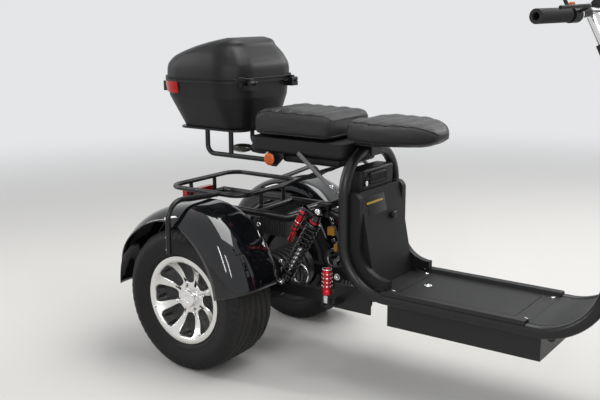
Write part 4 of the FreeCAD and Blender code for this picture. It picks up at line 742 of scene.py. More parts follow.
def window_sector(count, steps, rows=9):
    """One window's share of the wheel's face: a loop round the sector drawn in to the loop of its window,
    rounded over the edge, then down the window's wall. Points are (x, z, height), the sector centred on x."""
    side = np.linspace(-1, 1, steps + 1)[:-1]
    edge = np.ones(steps)
    loop = np.concatenate([np.stack([edge, side], -1), np.stack([-side, edge], -1),
                           np.stack([-edge, -side], -1), np.stack([side, -edge], -1)])
    radius, angle = 84.5 + 40.5 * loop[:, 0], np.pi / count * loop[:, 1]
    outer = np.stack([radius * np.cos(angle), radius * np.sin(angle)], -1)
    half, corner = np.array([35.0, 184.0 / count]), 13.5
    box = loop * half
    inner = np.clip(box, corner - half, half - corner)
    window = inner + corner * unit(box - inner)
    window[:, 1] *= 1 + 0.0105 * window[:, 0]
    window[:, 0] += WINDOW_MIDDLE
    share = (1 - (1 - np.linspace(0, 1, rows)) ** 2.2)[:, None, None]
    face = outer * (1 - share) + window * share
    away, soft = np.linalg.norm(face - window, axis=-1), 3.6
    drop = soft - np.sqrt(soft ** 2 - np.clip(soft - away, 0, soft) ** 2)
    height = face_height(face[..., 0], face[..., 1]) - drop
    depth = np.linspace(4, 44, 5)[:, None]
    drawn_in = window - 0.02 * depth[..., None] * unit(window - (WINDOW_MIDDLE, 0))
    wall = np.concatenate([drawn_in, (height[-1] - depth)[..., None]], -1)
    return np.concatenate([np.concatenate([face, height[..., None]], -1), wall])


def wheel_face(centre, out, count):
    """The polished face: cap and plateau turned, the windowed sectors side by side, and the turned lip."""
    steps = 14
    turn = np.linspace(0, 2 * np.pi, steps * count, endpoint=False) + np.pi / count

    def place(flat):
        """Stand the face's points (x, z, height) upright on the wheel's outer side."""
        return centre + np.stack([flat[..., 0], out * flat[..., 2], flat[..., 1]], -1)

    def rings(radii, heights):
        x, z = np.array(radii)[:, None] * np.cos(turn), np.array(radii)[:, None] * np.sin(turn)
        lift = face_height(x, z) if heights is None else np.array(heights)[:, None] + 0 * x
        return grid(place(np.stack([x, z, lift], -1)))

    sector = window_sector(count, steps)
    parts = [rings([29, *np.linspace(30, 44, 8)], None), rings([125, 126, 127.5, 129, 134, 139], None),
             rings([139, 141, 142, 142, 138, 127], [LIP, LIP - 0.6, LIP - 2, 76.4, 70, 66])]
    for k in range(count):
        angle = 2 * np.pi * k / count
        x = sector[..., 0] * np.cos(angle) - sector[..., 1] * np.sin(angle)
        z = sector[..., 0] * np.sin(angle) + sector[..., 1] * np.cos(angle)
        parts.append(grid(place(np.stack([x, z, sector[..., 2]], -1))))
    return parts


def wheel_barrel(centre, out, front):
    """The dark casting behind the face: the barrel between both beads, the hub and the brake disc, and a dark
    sheet across the windows' floor that is painted shade in part, standing in for the barrel's dark paint and
    the shade inside that show through the windows. A rear wheel also has its shaft, which runs in towards the
    gear casing."""
    way = (0, out, 0)
    barrel = [(126.5, 66), (126.5, -70), (134, -74), (142, -77), (142, -81), (138, -82), (121, -76),
              (120.7, -60), (120.7, 40), (121.5, 66)]
    hub = [(0, 40), (42, 40), (42, -60), (46, -64), (46, -95), (20, -96), (0, -96)]
    disc = [(46, -86), (96, -86), (96, -90), (46, -90)]
    # A dark sheet at the depth of the windows' floor: partly painted shade, in place of the dark paint and
    # shade seen through the open windows.
    window_shade_sheet = [(42, 20), (70, 26), (121, 34), (121, 28), (70, 18), (42, 8)]
    parts = [lathe(barrel, centre, way, 112, closed=True), lathe(hub, centre, way, 48),
             lathe(disc, centre, way, 72, closed=True), lathe(window_shade_sheet, centre, way, 72, closed=True)]
    return parts if front else parts + [rod(centre - (0, out * 95, 0), centre - (0, out * 160, 0), 14)]


def wheel_fittings(centre, out, sides):
    """The turned cap and its nuts on each polished side, and the valve."""
    parts = []
    for side in sides:
        way = (0, side, 0)
        cap = [(29.5, PLATEAU - 6), (29.5, PLATEAU + 1), (28.3, PLATEAU + 2), (28, CAP - 3), (26.5, CAP),
               (12, CAP), (10.5, CAP - 1.5), (0, CAP - 1.5)]
        parts.append(lathe(softened(cap, 1.0, 4), centre, way, 64))
        for angle in NUT_TURNS:
            spot = centre + (NUT_CIRCLE * np.cos(angle), side * (PLATEAU - 7), NUT_CIRCLE * np.sin(angle))
            parts += hexagon_nut(spot, way, 5.5, 7)
    angle, circle_radius = math.radians(200), 131
    valve = centre + (circle_radius * math.cos(angle), out * 70, circle_radius * math.sin(angle))
    parts.append(lathe([(0, 0), (4, 0), (4, 14), (3, 15), (3, 22), (0, 23)], valve, (0.3, out, 0.1), 12))
    return parts


class TRIKE_OT_rims(Operator):
    """Cut the eight-window wheel faces, with their barrels, caps, nuts and valves"""
    bl_idname = "trike.rims"
    bl_label = "Rims"

    def execute(self, context):
        count = context.scene.trike_sizes.window_count
        for label, body, node, tyre_node, out in WHEELS:
            centre, front = middle(tyre_node), label == "front"
            sides = (out, -out) if front else (out,)
            faces = [part for side in sides for part in wheel_face(centre, side, count)]
            for kind, parts, finish, slot, nodes in (
                    ("face", faces, "alloy_" + label, "alloy", [node]),
                    ("barrel", wheel_barrel(centre, out, front), "cast", "cast_black", ()),
                    ("fittings", wheel_fittings(centre, out, sides), "chrome", "chrome_part", ())):
                settle(build(f"wheel_{kind}_{label}", parts, 35), finish, body, nodes)
        return {"FINISHED"}


# ---------------------------------------------------------------- seats

def loft_along(stations, squareness, columns=72):
    """A padded form: at each (x, half width, bottom, top) a squared circle, |y|^e + |z|^e = 1, where e is
    the squareness."""
    stations = np.array(stations, float)
    turn = np.linspace(0, 2 * np.pi, columns, endpoint=False)[None, :]
    power = 2 / squareness
    across = np.sign(np.cos(turn)) * np.abs(np.cos(turn)) ** power
    lift = np.sign(np.sin(turn)) * np.abs(np.sin(turn)) ** power
    x, half, low, high = (stations[:, k, None] for k in range(4))
    points = np.stack([x + 0 * turn, half * across, (low + high) / 2 + (high - low) / 2 * lift], -1)
    ends = [np.repeat(points[end].mean(0)[None, None], columns, 1) for end in (0, -1)]
    return np.concatenate([ends[0], points, ends[1]])


def swell(piece, sizes):
    """Pad a seat: remesh it to even cells, blow it up as cloth, hold each point within the puff of where it
    was, draw the cover taut, then subdivide once."""
    remesh = piece.modifiers.new("cells", "REMESH")
    remesh.mode = "VOXEL"
    remesh.voxel_size = sizes.voxel
    bake(piece)
    before = vertex_places(piece)
    cloth = piece.modifiers.new("cloth", "CLOTH")
    cloth.settings.use_pressure = True
    cloth.settings.uniform_pressure_force = 4
    cloth.settings.effector_weights.gravity = 0
    for step in range(1, 21):
        bpy.context.scene.frame_set(step)
    bake(piece)
    bpy.context.scene.frame_set(1)
    move = vertex_places(piece) - before
    length = np.linalg.norm(move, axis=1, keepdims=True)
    move_vertices(piece, before + move * np.minimum(1, sizes.puff / np.maximum(length, 1e-9)))
    taut = piece.modifiers.new("taut", "SMOOTH")
    taut.factor = 0.5
    taut.iterations = 24
    piece.modifiers.new("even", "SUBSURF").levels = 1
    piece.modifiers["even"].render_levels = 1
    bake(piece)


def bake(piece):
    """Apply a piece's modifiers to its mesh."""
    evaluated = piece.evaluated_get(bpy.context.evaluated_depsgraph_get())
    mesh = bpy.data.meshes.new_from_object(evaluated)
    piece.modifiers.clear()
    piece.data = mesh


def walled(piece, thickness, offset=-1.0):
    """Give a sheet its wall."""
    wall = piece.modifiers.new("wall", "SOLIDIFY")
    wall.thickness, wall.offset = thickness, offset
    bake(piece)


def vertex_places(piece):
    """Where a piece's points are, in metres."""
    places = np.empty(len(piece.data.vertices) * 3, np.float32)
    piece.data.vertices.foreach_get("co", places)
    return places.reshape(-1, 3).astype(float)


def move_vertices(piece, places):
    """Put a piece's points at their new places, and shade it smooth."""
    piece.data.vertices.foreach_set("co", places.astype(np.float32).ravel())
    piece.data.update()
    piece.data.polygons.foreach_set("use_smooth", np.ones(len(piece.data.polygons), bool))


def piping(piece, points, radius):
    """A cord sewn along the seat: the points fall on the nearest surface, each is drawn three times to the
    mean of its neighbours, and a tube follows them."""
    points = in_frame(points)
    tree = BVHTree.FromObject(piece, bpy.context.evaluated_depsgraph_get())
    landed = np.array([tree.find_nearest(Vector(point))[0] for point in points])
    for _ in range(3):
        landed = (np.roll(landed, 1, 0) + 2 * landed + np.roll(landed, -1, 0)) / 4
    drawn = (landed - (AXLE_X, 0, 0)) / MM
    return sweep(drawn, circle(radius / MM, 8), closed=True)


# Sections of the bench and of the saddle: x, half width, bottom, top
BENCH = (
    (93, 114, 737, 801), (97, 123, 733, 807), (110, 129, 731, 811), (150, 131, 730.5, 812),
    (230, 131, 730.5, 811), (320, 131, 730.5, 810), (362, 130, 731, 808), (377, 126, 732, 804),
    (383, 117, 736, 797))
SADDLE = (
    (429, 98, 740, 787), (434, 114, 735, 795), (446, 127, 732, 799), (470, 137, 731.5, 800),
    (510, 143, 731.5, 799), (550, 143, 731.5, 798), (590, 133, 731.5, 799), (630, 112, 731.5, 797),
    (660, 90, 732, 792), (682, 70, 735, 785), (696, 52, 741, 777), (703, 36, 750, 768))


def edge_line(stations, squareness, lift):
    """The closed line round a loft at one angle up its sides."""
    stations = resampled(softened(stations, 12), 60)
    turn = math.radians(lift)
    power = 2 / squareness
    across, up = math.cos(turn) ** power, math.copysign(abs(math.sin(turn)) ** power, lift)
    x, half, low, high = stations.T
    level = (low + high) / 2 + (high - low) / 2 * up
    right = np.stack([x, -half * across, level], -1)
    left = np.stack([x, half * across, level], -1)
    return resampled(np.concatenate([right, left[::-1], right[:1]]), 241)[:-1]


def sew_channels(piece, stations, lines, sizes):
    """Sink a channel across the seat's top at each line and crown the roll between two lines, both as bells
    along x that fade out towards the sides and below the top."""
    stations, places = np.array(stations), vertex_places(piece)
    x, top = (places[:, 0] - AXLE_X) / MM, stations[:, 3].max() - 22
    half = np.interp(x, stations[:, 0], stations[:, 1])
    inside = 1 - smooth_step(np.abs(places[:, 1]) / MM - half, -26, -14)
    above = smooth_step(places[:, 2] / MM, top, top + 8)
    nearest = np.min(np.abs(x[:, None] - lines[None, :]), 1)
    crown = 2.6 * hill(nearest - sizes.pleat_spacing / MM / 2, 13) - 1.5
    places[:, 2] += MM * above * inside * (crown - sizes.pleat_depth / MM * hill(nearest, 2.8))
    move_vertices(piece, places)


class TRIKE_OT_seats(Operator):
    """Pad the bench and the saddle, sew their channels and run the piping round them"""
    bl_idname = "trike.seats"
    bl_label = "Seats"

    def execute(self, context):
        sizes = context.scene.trike_sizes
        for name, stations, squareness, node, body, first, last in (
                ("bench_cushion", BENCH, 6.0, "passenger_seat", "chassis", 128, 350),
                ("saddle_cushion", SADDLE, 4.4, "driver_seat", "driver_seat", 470, 675)):
            dense = resampled(softened(stations, 14), 90)
            piece = build(name, [grid(loft_along(dense, squareness))])
            swell(piece, sizes)
            sew_channels(piece, stations, np.arange(first, last + 1, sizes.pleat_spacing / MM), sizes)
            settle(piece, "leather", body, [node])
            cords = [piping(piece, edge_line(stations, squareness, lift), sizes.piping) for lift in (50, -35)]
            settle(build(name.replace("cushion", "piping"), cords), "leather", body)
        return {"FINISHED"}


# ---------------------------------------------------------------- fenders

def arch_edge(turn, back, drop, radius):
    """How far from the axle a ray meets the circle of the arch, whose centre lies back and down from it."""
    reach = -back * np.sin(turn) - drop * np.cos(turn)
    return reach + np.sqrt(reach ** 2 + radius ** 2 - back ** 2 - drop ** 2)


def fender_shell(hub, sign):
    """A rear fender: for each direction round the axle, a quarter of a squared circle from the crown out to
    the wall, the wall down to the edge of the arch, and a small turn at the inner side. The crown comes
    nearer to the tyre towards the front, and the arch's edge passes from one circle to another."""
    outer, inner, depth, crest, bend_radius = 112.0, -106.0, 118.0, -14.0, 40.0
    turn = np.radians(np.linspace(-90, 76, 96))[:, None]
    crown = 298.2 - 38 * smooth_step(turn, 0.1, 1.5)
    ahead = smooth_step(turn, -0.8, 0.2)
    edge = arch_edge(turn, 48.7, 14, 250) * (1 - ahead) + arch_edge(turn, 85, -16, 245) * ahead
    edge = np.minimum(edge, crown - 7)
    power = 0.56 + 0.18 * ahead
    start = np.arcsin(np.clip(1 - (crown - edge) / depth, 0, 1) ** (1 / power))
    dome = start + (np.pi / 2 - start) * np.linspace(0, 1, 32)[None, :] ** 0.8
    high = crown - depth * (1 - np.sin(dome) ** power)
    wide = crest + (outer - crest) * np.cos(dome) ** power
    wall = edge + (high[:, :1] - edge) * np.linspace(0, 1, 14)[None, :-1]
    flat = np.linspace(crest, inner + bend_radius, 8)[None, 1:]
    bend = np.radians(np.linspace(0, 90, 9))[None, 1:]
    down = np.array([[50, 60, 70]])
    bent = crown - bend_radius * (1 - np.cos(bend))
    height = np.concatenate([wall, high, crown + 0 * flat, bent, crown - down], 1)
    inner_bend = inner + bend_radius * (1 - np.sin(bend))
    across = np.concatenate([wide[:, :1] + 0 * wall, wide, flat + 0 * turn, inner_bend + 0 * turn,
                             inner + 0 * (turn + down)], 1)
    across = across + 2.5 * hill(height - edge, 4) * (across > 0)
    x, z = hub[0] + height * np.sin(turn), hub[2] + height * np.cos(turn)
    return np.stack([x, hub[1] + sign * across, z], -1)


class TRIKE_OT_fenders(Operator):
    """Draw the rear fenders as one domed shell each, with a rolled edge round the arch"""
    bl_idname = "trike.fenders"
    bl_label = "Rear fenders"

    def execute(self, context):
        for side, sign in SIDES:
            shell = fender_shell(middle("rear_tyre_" + side), sign)
            piece = build("fender_shell_" + side, [grid(shell, around=False)], 60)
            walled(piece, 0.003, 0.0)
            settle(piece, "lacquer", "chassis", ["rear_fender_" + side])
        return {"FINISHED"}


# ---------------------------------------------------------------- top case

def rounded_plan(samples=14):
    """The corners of a rounded rectangle as directions: signs of each corner and the turn round it."""
    turn = np.radians(np.concatenate([np.linspace(0, 90, samples) + 90 * k for k in range(4)]))
    return np.repeat((1, -1, -1, 1), samples), np.repeat((1, 1, -1, -1), samples), turn


# The lid's rows and its flange's: how far the rear, front and each side stand in, the corner's radius, and
# the share of the rise or the height over the rim
LID = (
    (6, 6, 6, 99, 0.00), (6, 6, 8, 99, 0.33), (34, 22, 16, 93, 0.54), (70, 34, 24, 87, 0.66),
    (123, 47, 38, 77, 0.80), (172, 52, 52, 58, 0.89), (212, 64, 68, 34, 0.95), (246, 88, 92, 8, 1.00))
FLANGE = (
    (3, 3, 3, 102, 0.0), (0.4, 0.4, 0.4, 104.6, 0.4), (0, 0, 0, 105, 2.6), (0.8, 0.8, 0.8, 104, 3.4),
    (0, 0, 0, 105, 4.2), (0, 0, 0, 105, 6.6), (1.2, 1.2, 1.2, 104, 7.8), (6.5, 6.5, 6.5, 98.5, 8.0),
    (6.5, 6.5, 6.5, 98.5, 0.0))
LID_RISE, LID_WALL, HINGE_REACH, HINGE_SIDE, CORNER = 132.0, 3.0, 19.0, 110.0, 105.0


def case_plan():
    """The case's plan as two corners in whole millimetres, without its hinges, and the level of its rim."""
    low, high = low_high("case_lid")
    return np.round(low[:2]), np.round(high[:2]) - (HINGE_REACH, 0), high[2] - LID_RISE


def lid_rows(case_low, case_high, level, rise, table):
    """Rings of the lid: each row of the table is a rounded rectangle inside the case's plan, at its level.
    The front corners carry a raised rib that fades towards the roof."""
    sign_x, sign_y, turn = rounded_plan()
    rear, front, side, corner, share = (table[:, k, None] for k in range(5))
    centre_x = np.where(sign_x > 0, case_high[0] - front - corner, case_low[0] + rear + corner)
    centre_y = sign_y * (case_high[1] - side - corner)
    rib = 4.0 * hill(np.degrees(np.abs(np.arcsin(np.sin(turn)))) - 32, 5.5) * (sign_x > 0)
    reach = corner + rib * (1 - smooth_step(share, 0.62, 0.82)) * smooth_step(share, 0.03, 0.08)
    return np.stack([centre_x + reach * np.cos(turn), centre_y + reach * np.sin(turn),
                     level + rise * share + 0 * turn], -1)


def closing(row, shares):
    """A row drawn in to its middle, by each share in turn."""
    centre = row.mean(axis=1, keepdims=True)
    return centre + (row - centre) * shares[:, None, None]


def lid_shell(case_low, case_high, level):
    """The lid's outside and its roof, the inside 3 mm in from them, the rim between both, and the flange."""
    table = resampled(softened(np.array(LID) * (1, 1, 1, 1, LID_RISE), 16), 44) / (1, 1, 1, 1, LID_RISE)
    outside = lid_rows(case_low, case_high, level, LID_RISE, table)
    inside = lid_rows(case_low, case_high, level, LID_RISE - LID_WALL,
                      table[::-1] + np.array([1, 1, 1, -0.4, 0]) * LID_WALL)
    shares = np.linspace(1, 0, 7)[1:]
    flange = lid_rows(case_low, case_high, level + 0.3, 1.0, np.array(FLANGE))
    return [grid(np.concatenate([outside, closing(outside[-1:], shares)])),
            grid(np.concatenate([closing(inside[:1], shares[::-1]), inside])),
            grid(np.stack([inside[-1], outside[0]])), grid(flange, along=True)]


def corner_clip(case_high, level, sign):
    """A clip on a front corner of the lid: a hinge block and a tongue that hangs over the rim."""
    turn = math.radians(32)
    out = np.array((math.cos(turn), sign * math.sin(turn), 0))
    spot = (case_high[0] - CORNER, sign * (case_high[1] - CORNER), level + 3) + (CORNER - 6) * out
    axes = [(-out[1], out[0], 0), out, (0, 0, 1)]
    head = block((-11, -4, -7), (11, 9, 9), 2.5, 4, spot, axes)
    return [head, block((-7, -4, -26), (7, 6, -6), 2.5, 4, spot, axes)]


def corner_reflector(case_low, level, sign):
    """A reflector round a rear corner: a patch of a cylinder that bows out in the middle and leans in with
    the square of its depth, with a flat back 4 mm behind it and a wall round both."""
    share = np.linspace(0, 1, 20)[None, :]
    height = np.linspace(-36, 2, 7)[:, None]
    turn = np.radians(88 + 58 * share)
    out = np.stack([np.cos(turn), sign * np.sin(turn), 0 * turn], -1)
    reach = CORNER - 3.5 + 3.2 * smooth_step(np.minimum(share, 1 - share), 0, 0.08)
    reach = reach - 0.004 * (height - 2) ** 2
    level = (level - 9 + height)[..., None] * (0, 0, 1)
    face = (case_low[0] + CORNER, -sign * (case_low[1] + CORNER), 0) + level + reach[..., None] * out
    back = face - 4 * out
    loops = [np.concatenate([side[0], side[:, -1], side[-1, ::-1], side[::-1, 0]]) for side in (face, back)]
    return [grid(face, around=False), grid(np.stack(loops)), grid(back, around=False)]


class TRIKE_OT_case_lid(Operator):
    """Shape the top case's lid with its ribs, roof, flange and hinges, its clips, reflectors and lock"""
    bl_idname = "trike.case_lid"
    bl_label = "Case lid"

    def execute(self, context):
        case_low, case_high, level = case_plan()
        lid, clips, reflectors = lid_shell(case_low, case_high, level), [], []
        hinge_x, hinge_z = low_high("case_base")[1][0] - 8.5, level - 6
        for sign in (-1, 1):
            y = sign * HINGE_SIDE
            lid += [rod((hinge_x, y - 7.5, hinge_z), (hinge_x, y + 7.5, hinge_z), 7.5, 24),
                    block((case_high[0] - 10, y - 7.4, hinge_z), (hinge_x + 1, y + 7.4, level + 6.8), 1.2)]
            clips += corner_clip(case_high, level, sign)
            reflectors += corner_reflector(case_low, level, sign)
        lock = [rod((case_low[0] - 16.5, 0, level - 22), (case_low[0] - 3, 0, level - 22), 11, 28, 1.5)]
        settle(build("case_lid_shell", lid, 32), "case", "case_lid", ["case_lid"])
        settle(build("case_corner_clips", clips), "case", "case_lid")
        settle(build("case_reflectors", reflectors), "reflector", "chassis")
        settle(build("case_lock", lock), "chrome", "chassis")
        return {"FINISHED"}


# ---------------------------------------------------------------- shocks and pegs

class TRIKE_OT_shocks(Operator):
    """Turn the dampers with their coils, red collars and side reservoirs"""
    bl_idname = "trike.shocks"
    bl_label = "Shocks"

    def execute(self, context):
        low, high = low_high("shock_dampers")
        turns = context.scene.trike_sizes.coil_turns
        eye, beside = 13.0, -147.0
        foot = np.array((low[0] + eye, beside, low[2] + eye))
        head = np.array((high[0] - eye, beside, high[2] - eye))
        way, length = unit(head - foot), np.linalg.norm(head - foot)
        side = np.array((way[2], 0, -way[0]))

        def along(share):
            return foot + way * share * length

        body = [(0, 0), (12, 0), (13.5, 3), (13.5, 84), (15, 86), (15, 96), (13, 99), (13, 119), (0, 119)]
        black = [lathe(body, along(0.50), way, 32),
                 lathe([(11, 0), (24, 1.5), (24, 6), (19, 8), (11, 8)], along(0.115), way, 40),
                 lathe([(0, -8), (9, -6), (9, 12), (0, 12)], along(0.06), way, 24),
                 lathe([(0, -10), (12, -8), (12, 4), (0, 4)], along(0.93), way, 24)]
        bright = [rod(along(0.09), along(0.56), 6, 24)]
        for place in (foot, head):
            black.append(rod(place - (0, 14, 0), place + (0, 14, 0), eye, 32, 1.5))
            bright.append(rod(place - (0, 15, 0), place + (0, 15, 0), 7, 20))
        bright += dome_bolt(head - (0, 14, 0), RIGHT, 10, 5)
        bright += hexagon_nut(foot - (0, 14, 0), RIGHT, 8, 6)

        share = np.linspace(0, 1, 28 * turns + 1)
        start, end, flat_end, reach, wire = 0.155, 0.805, 0.012, 20.5, 3.1
        climb = np.interp(share, (0, 0.06, 0.94, 1), (start, start + flat_end, end - flat_end, end))
        turn = 2 * np.pi * turns * share
        path = foot + way * (climb * length)[:, None] + reach * (
            np.cos(turn)[:, None] * side + np.sin(turn)[:, None] * np.array((0, 1.0, 0)))
        coil = [sweep(path, circle(wire, 10), way)]

        collar = [(13.6, 0), (16.5, 0), (17.5, 1), (17.5, 5), (16.5, 6), (13.6, 6)]
        red = [lathe(collar, along(0.848), way, 40)]
        seat = [(13.6, 0), (23, 0), (24, 1), (24, 5), (22, 6.5), (13.6, 6.5)]
        black.append(lathe(seat, along(0.815), way, 40))
        tank = head - side * 49 - way * 20
        bottle = [(0, 0), (9, 0), (11, 2), (11, 60), (9.6, 61), (9.6, 63), (11, 64), (11, 70), (9, 73),
                  (0, 73)]
        red.append(lathe(bottle, tank - way * 88, way, 32))
        valve = [(0, 0), (7, 0), (8, 1.5), (8, 34), (6, 36), (0, 36)]
        red.append(lathe(valve, tank - way * 132 + side * 4, way, 28))
        black += [lathe([(11.2, 0), (12, 1), (12, 7), (11.2, 8)], tank - way * height, way, 32)
                  for height in (30, 76)]
        black.append(lathe([(0, 0), (10.6, 0), (10.6, 12), (9, 14), (0, 14)], tank - way * 15, way, 32))
        bridge = head - side * 25 - way * 26
        black.append(block((-22, -6, -5), (22, 6, 5), 2, 4, bridge, [side, (0, 1, 0), way]))
        bright.append(lathe([(11.1, 0), (11.6, 0.6), (11.6, 1.8), (11.1, 2.4)], tank - way * 58, way, 32))
        for name, parts, finish, slot, nodes in (
                ("shock_bodies", black, "damper", "shock_metal", ["shock_dampers"]),
                ("shock_coils", coil, "coil", "coil_black", ["shock_springs"]),
                ("shock_bright_parts", bright, "chrome", "chrome_part", ()),
                ("shock_red_parts", red, "red", "peg_red", ())):
            settle(build(name, both_sides(parts)), finish, "chassis", nodes)
        return {"FINISHED"}


class TRIKE_OT_pegs(Operator):
    """Turn the folding foot pegs: a red sleeve with rows of studs and dots, a bright end and a tongue"""
    bl_idname = "trike.pegs"
    bl_label = "Foot pegs"

    def execute(self, context):
        for side, _ in SIDES:
            node = "foot_peg_" + side
            low, high = low_high(node)
            x, y, _ = middle(node)
            top, bottom, radius = high[2], high[2] - 82, 15.0
            sleeve = [(0, 0), (11, 0), (13, 2), (radius, 4), (radius, 16), (13.4, 18), (13.4, 21),
                      (radius, 23), (radius, 74), (13.8, 76), (13.8, 78), (radius - 0.5, 79), (12.5, 82),
                      (9, 82), (8, 79), (0, 79)]
            end_ring = [(9, 0), (14.7, 0), (15, 1), (14.6, 1.9), (9, 1.9)]
            stud = [(2.8, 0), (2.8, 1.2), (2.0, 1.7), (0, 1.7)]
            dot = [(1.7, 0), (1.7, 0.8), (1.0, 0.8), (0, 0.6)]
            studs = [lathe(end_ring, (x, y, top - 1.9), UP, 40, closed=True),
                     block((x - 7.4, y - 9, low[2]), (x + 7.4, y + 9, bottom + 2), 2)]
            dots = []
            for row in range(4):
                for first_turn, first_row, parts, profile, count in ((34, 30, studs, stud, 12),
                                                                     (11.5, 36, dots, dot, 10)):
                    for turn in np.radians(first_turn + 45 * np.arange(8)):
                        out = np.array((math.cos(turn), math.sin(turn), 0))
                        spot = np.array((x, y, bottom + first_row + 12.5 * row)) + out * (radius - 0.6)
                        parts.append(lathe(profile, spot, out, count))
            for kind, parts, finish, slot, nodes in (
                    ("sleeve", [lathe(sleeve, (x, y, bottom), UP, 40)], "red", "peg_red", [node]),
                    ("studs", studs, "zinc", "chrome_part", ()),
                    ("dots", dots, "switch", "switch_black", ())):
                settle(build(f"peg_{kind}_{side}", parts), finish, node, nodes)
        return {"FINISHED"}


# ---------------------------------------------------------------- fittings

# Bolts that show on the right side of the frame, and are mirrored to the left: how each is made, its place,
# its radius and its height
FRAME_BOLTS = (
    (dome_bolt, (117, -126, 442), 8, 4), (dome_bolt, (117, -126, 413), 8, 4),
    (hexagon_nut, (417, -126, 319), 8, 6), (dome_bolt, (221, -150, 343), 7, 4),
    (dome_bolt, (229, -150, 317), 7, 4), (dome_bolt, (406, -141, 601), 8, 4))


class TRIKE_OT_bolts(Operator):
    """Set the frame's bolts, the nuts of the fender hoops and the rings at the swing arm"""
    bl_idname = "trike.bolts"
    bl_label = "Frame bolts"

    def execute(self, context):
        hoop = low_high("fender_hoops")[0]
        bolts = []
        for make, place, radius, height in FRAME_BOLTS:
            bolts += make(place, RIGHT, radius, height)
        for z in (440, 402):
            bolts += hexagon_nut((hoop[0] + 3, hoop[1] + 8, z), RIGHT, 5, 3)
        settle(build("frame_bolts", both_sides(bolts)), "zinc", "chassis")
        ring = [(26, 0), (36, 0), (37, 2), (36, 8), (26, 8), (25, 4)]
        rings = both_sides([lathe(ring, (258, -100, 294), RIGHT, 48, closed=True)])
        settle(build("swing_arm_rings", rings), "zinc", "chassis")
        return {"FINISHED"}


class TRIKE_OT_hugger(Operator):
    """Bend the hugger: a line in the side view carried across the trike, its middle raised by a parabola"""
    bl_idname = "trike.hugger"
    bl_label = "Hugger"

    def execute(self, context):
        width, rows, columns = 96.0, 40, 25
        side_view = [(372, 640), (300, 625), (222, 589), (191, 568), (130, 555), (84, 530)]
        line = resampled(softened(side_view, 40), rows)
        across = np.linspace(-width, width, columns)
        arch = 5 * (1 - (across / width) ** 2)
        sheet = np.stack([line[:, 0, None] + 0 * across, np.broadcast_to(across, (rows, columns)),
                          line[:, 1, None] + arch], -1)
        hugger = build("hugger_sheet", [grid(sheet, around=False)])
        walled(hugger, 0.0025)
        settle(hugger, "moulding", "chassis")
        return {"FINISHED"}


class TRIKE_OT_controller(Operator):
    """Set the controller's box with its upright fins"""
    bl_idname = "trike.controller"
    bl_label = "Controller"

    def execute(self, context):
        box = [block((92, -99, 404), (206, -60, 470), 3)]
        box += [block((x, -103, 408), (x + 3, -97, 466), 1.2) for x in range(97, 207, 10)]
        settle(build("controller_box", box), "cast", "chassis")
        return {"FINISHED"}


class TRIKE_OT_tail_marker(Operator):
    """Shape the tail marker: a flattened leaf whose half width and height follow powers of a sine, with
    seven ribs along it, and its rubber boot"""
    bl_idname = "trike.tail_marker"
    bl_label = "Tail marker"

    def execute(self, context):
        share = np.linspace(0, 1, 25)[:, None]
        turn = np.linspace(0, 2 * np.pi, 24, endpoint=False)[None, :]
        swell_out = np.sin(np.pi * share ** 0.8)
        half, tall = 24 * swell_out ** 0.8 + 0.1, 15 * swell_out ** 0.7 + 0.1
        rib = 1 + 0.05 * np.cos(7 * turn)
        leaf = np.stack([-4 - 104 * share + 0 * turn, half * rib * np.cos(turn),
                         664 - 8 * share + tall * rib * np.sin(turn)], -1)
        boot = [(0, 0), (20, 0), (19, 20), (15, 46), (0, 48)]
        settle(build("tail_marker", [grid(leaf)]), "smoke", "chassis")
        rubber = build("tail_marker_boot", [lathe(boot, (44, 0, 668), (-1, 0, -0.06), 24)])
        settle(rubber, "moulding", "chassis")
        return {"FINISHED"}


class TRIKE_OT_seat_support(Operator):
    """Draw the thin struts with their feet, and the bin under the seats' tray"""
    bl_idname = "trike.seat_support"
    bl_label = "Seat struts and bin"

    def execute(self, context):
        foot, head = np.array((410, -139, 590)), np.array((277, -132, 690))
        way = unit(head - foot)
        axes = [np.cross((0, 1, 0), way), (0, 1, 0), way]
        strut = [rod(foot + way * 8, head, 6.5, 20), block((-9, -3, -14), (9, 3, 26), 2.5, 4, foot, axes)]
        seat_bin = [block((196, -108, 652), (412, 108, 680), 12, 6)]
        struts = build("seat_strut_tubes", both_sides(strut))
        settle(struts, "strut", "chassis", ["seat_struts"])
        settle(build("seat_bin", seat_bin), "moulding", "chassis")
        return {"FINISHED"}


class TRIKE_OT_plugs(Operator):
    """Set the two wiring plugs beside the loop"""
    bl_idname = "trike.plugs"
    bl_label = "Wiring plugs"

    def execute(self, context):
        plugs = [block((380, -127, 446), (406, -112, 472), 3), block((404, -127, 398), (417, -114, 422), 3)]
        settle(build("wiring_plugs", plugs), "terminal", "chassis")
        return {"FINISHED"}


class TRIKE_OT_lamps(Operator):
    """Turn the rear turn lamps: a dark boot and a round lens whose section is a squared quarter circle"""
    bl_idname = "trike.lamps"
    bl_label = "Rear turn lamps"

    def execute(self, context):
        place = (middle("rear_turn_lamps")[0], -106, low_high("rear_turn_lamps")[1][2] - 14)
        boot = [(0, 0), (9, 0), (9, 16), (14, 22), (20, 25), (20, 31), (18, 31)]
        turn = np.linspace(0, 1, 12) * np.pi / 2
        glass = np.stack([19.5 * np.cos(turn) ** 0.5, 31 + 7 * np.sin(turn)], -1)
        boots = build("turn_lamp_boots", both_sides([lathe(boot, place, RIGHT, 40)]))
        lenses = build("turn_lamp_lenses", both_sides([lathe(glass, place, RIGHT, 48)]))
        settle(boots, "moulding", "chassis", ["rear_turn_lamps"])
        settle(lenses, "amber", "chassis")
        return {"FINISHED"}


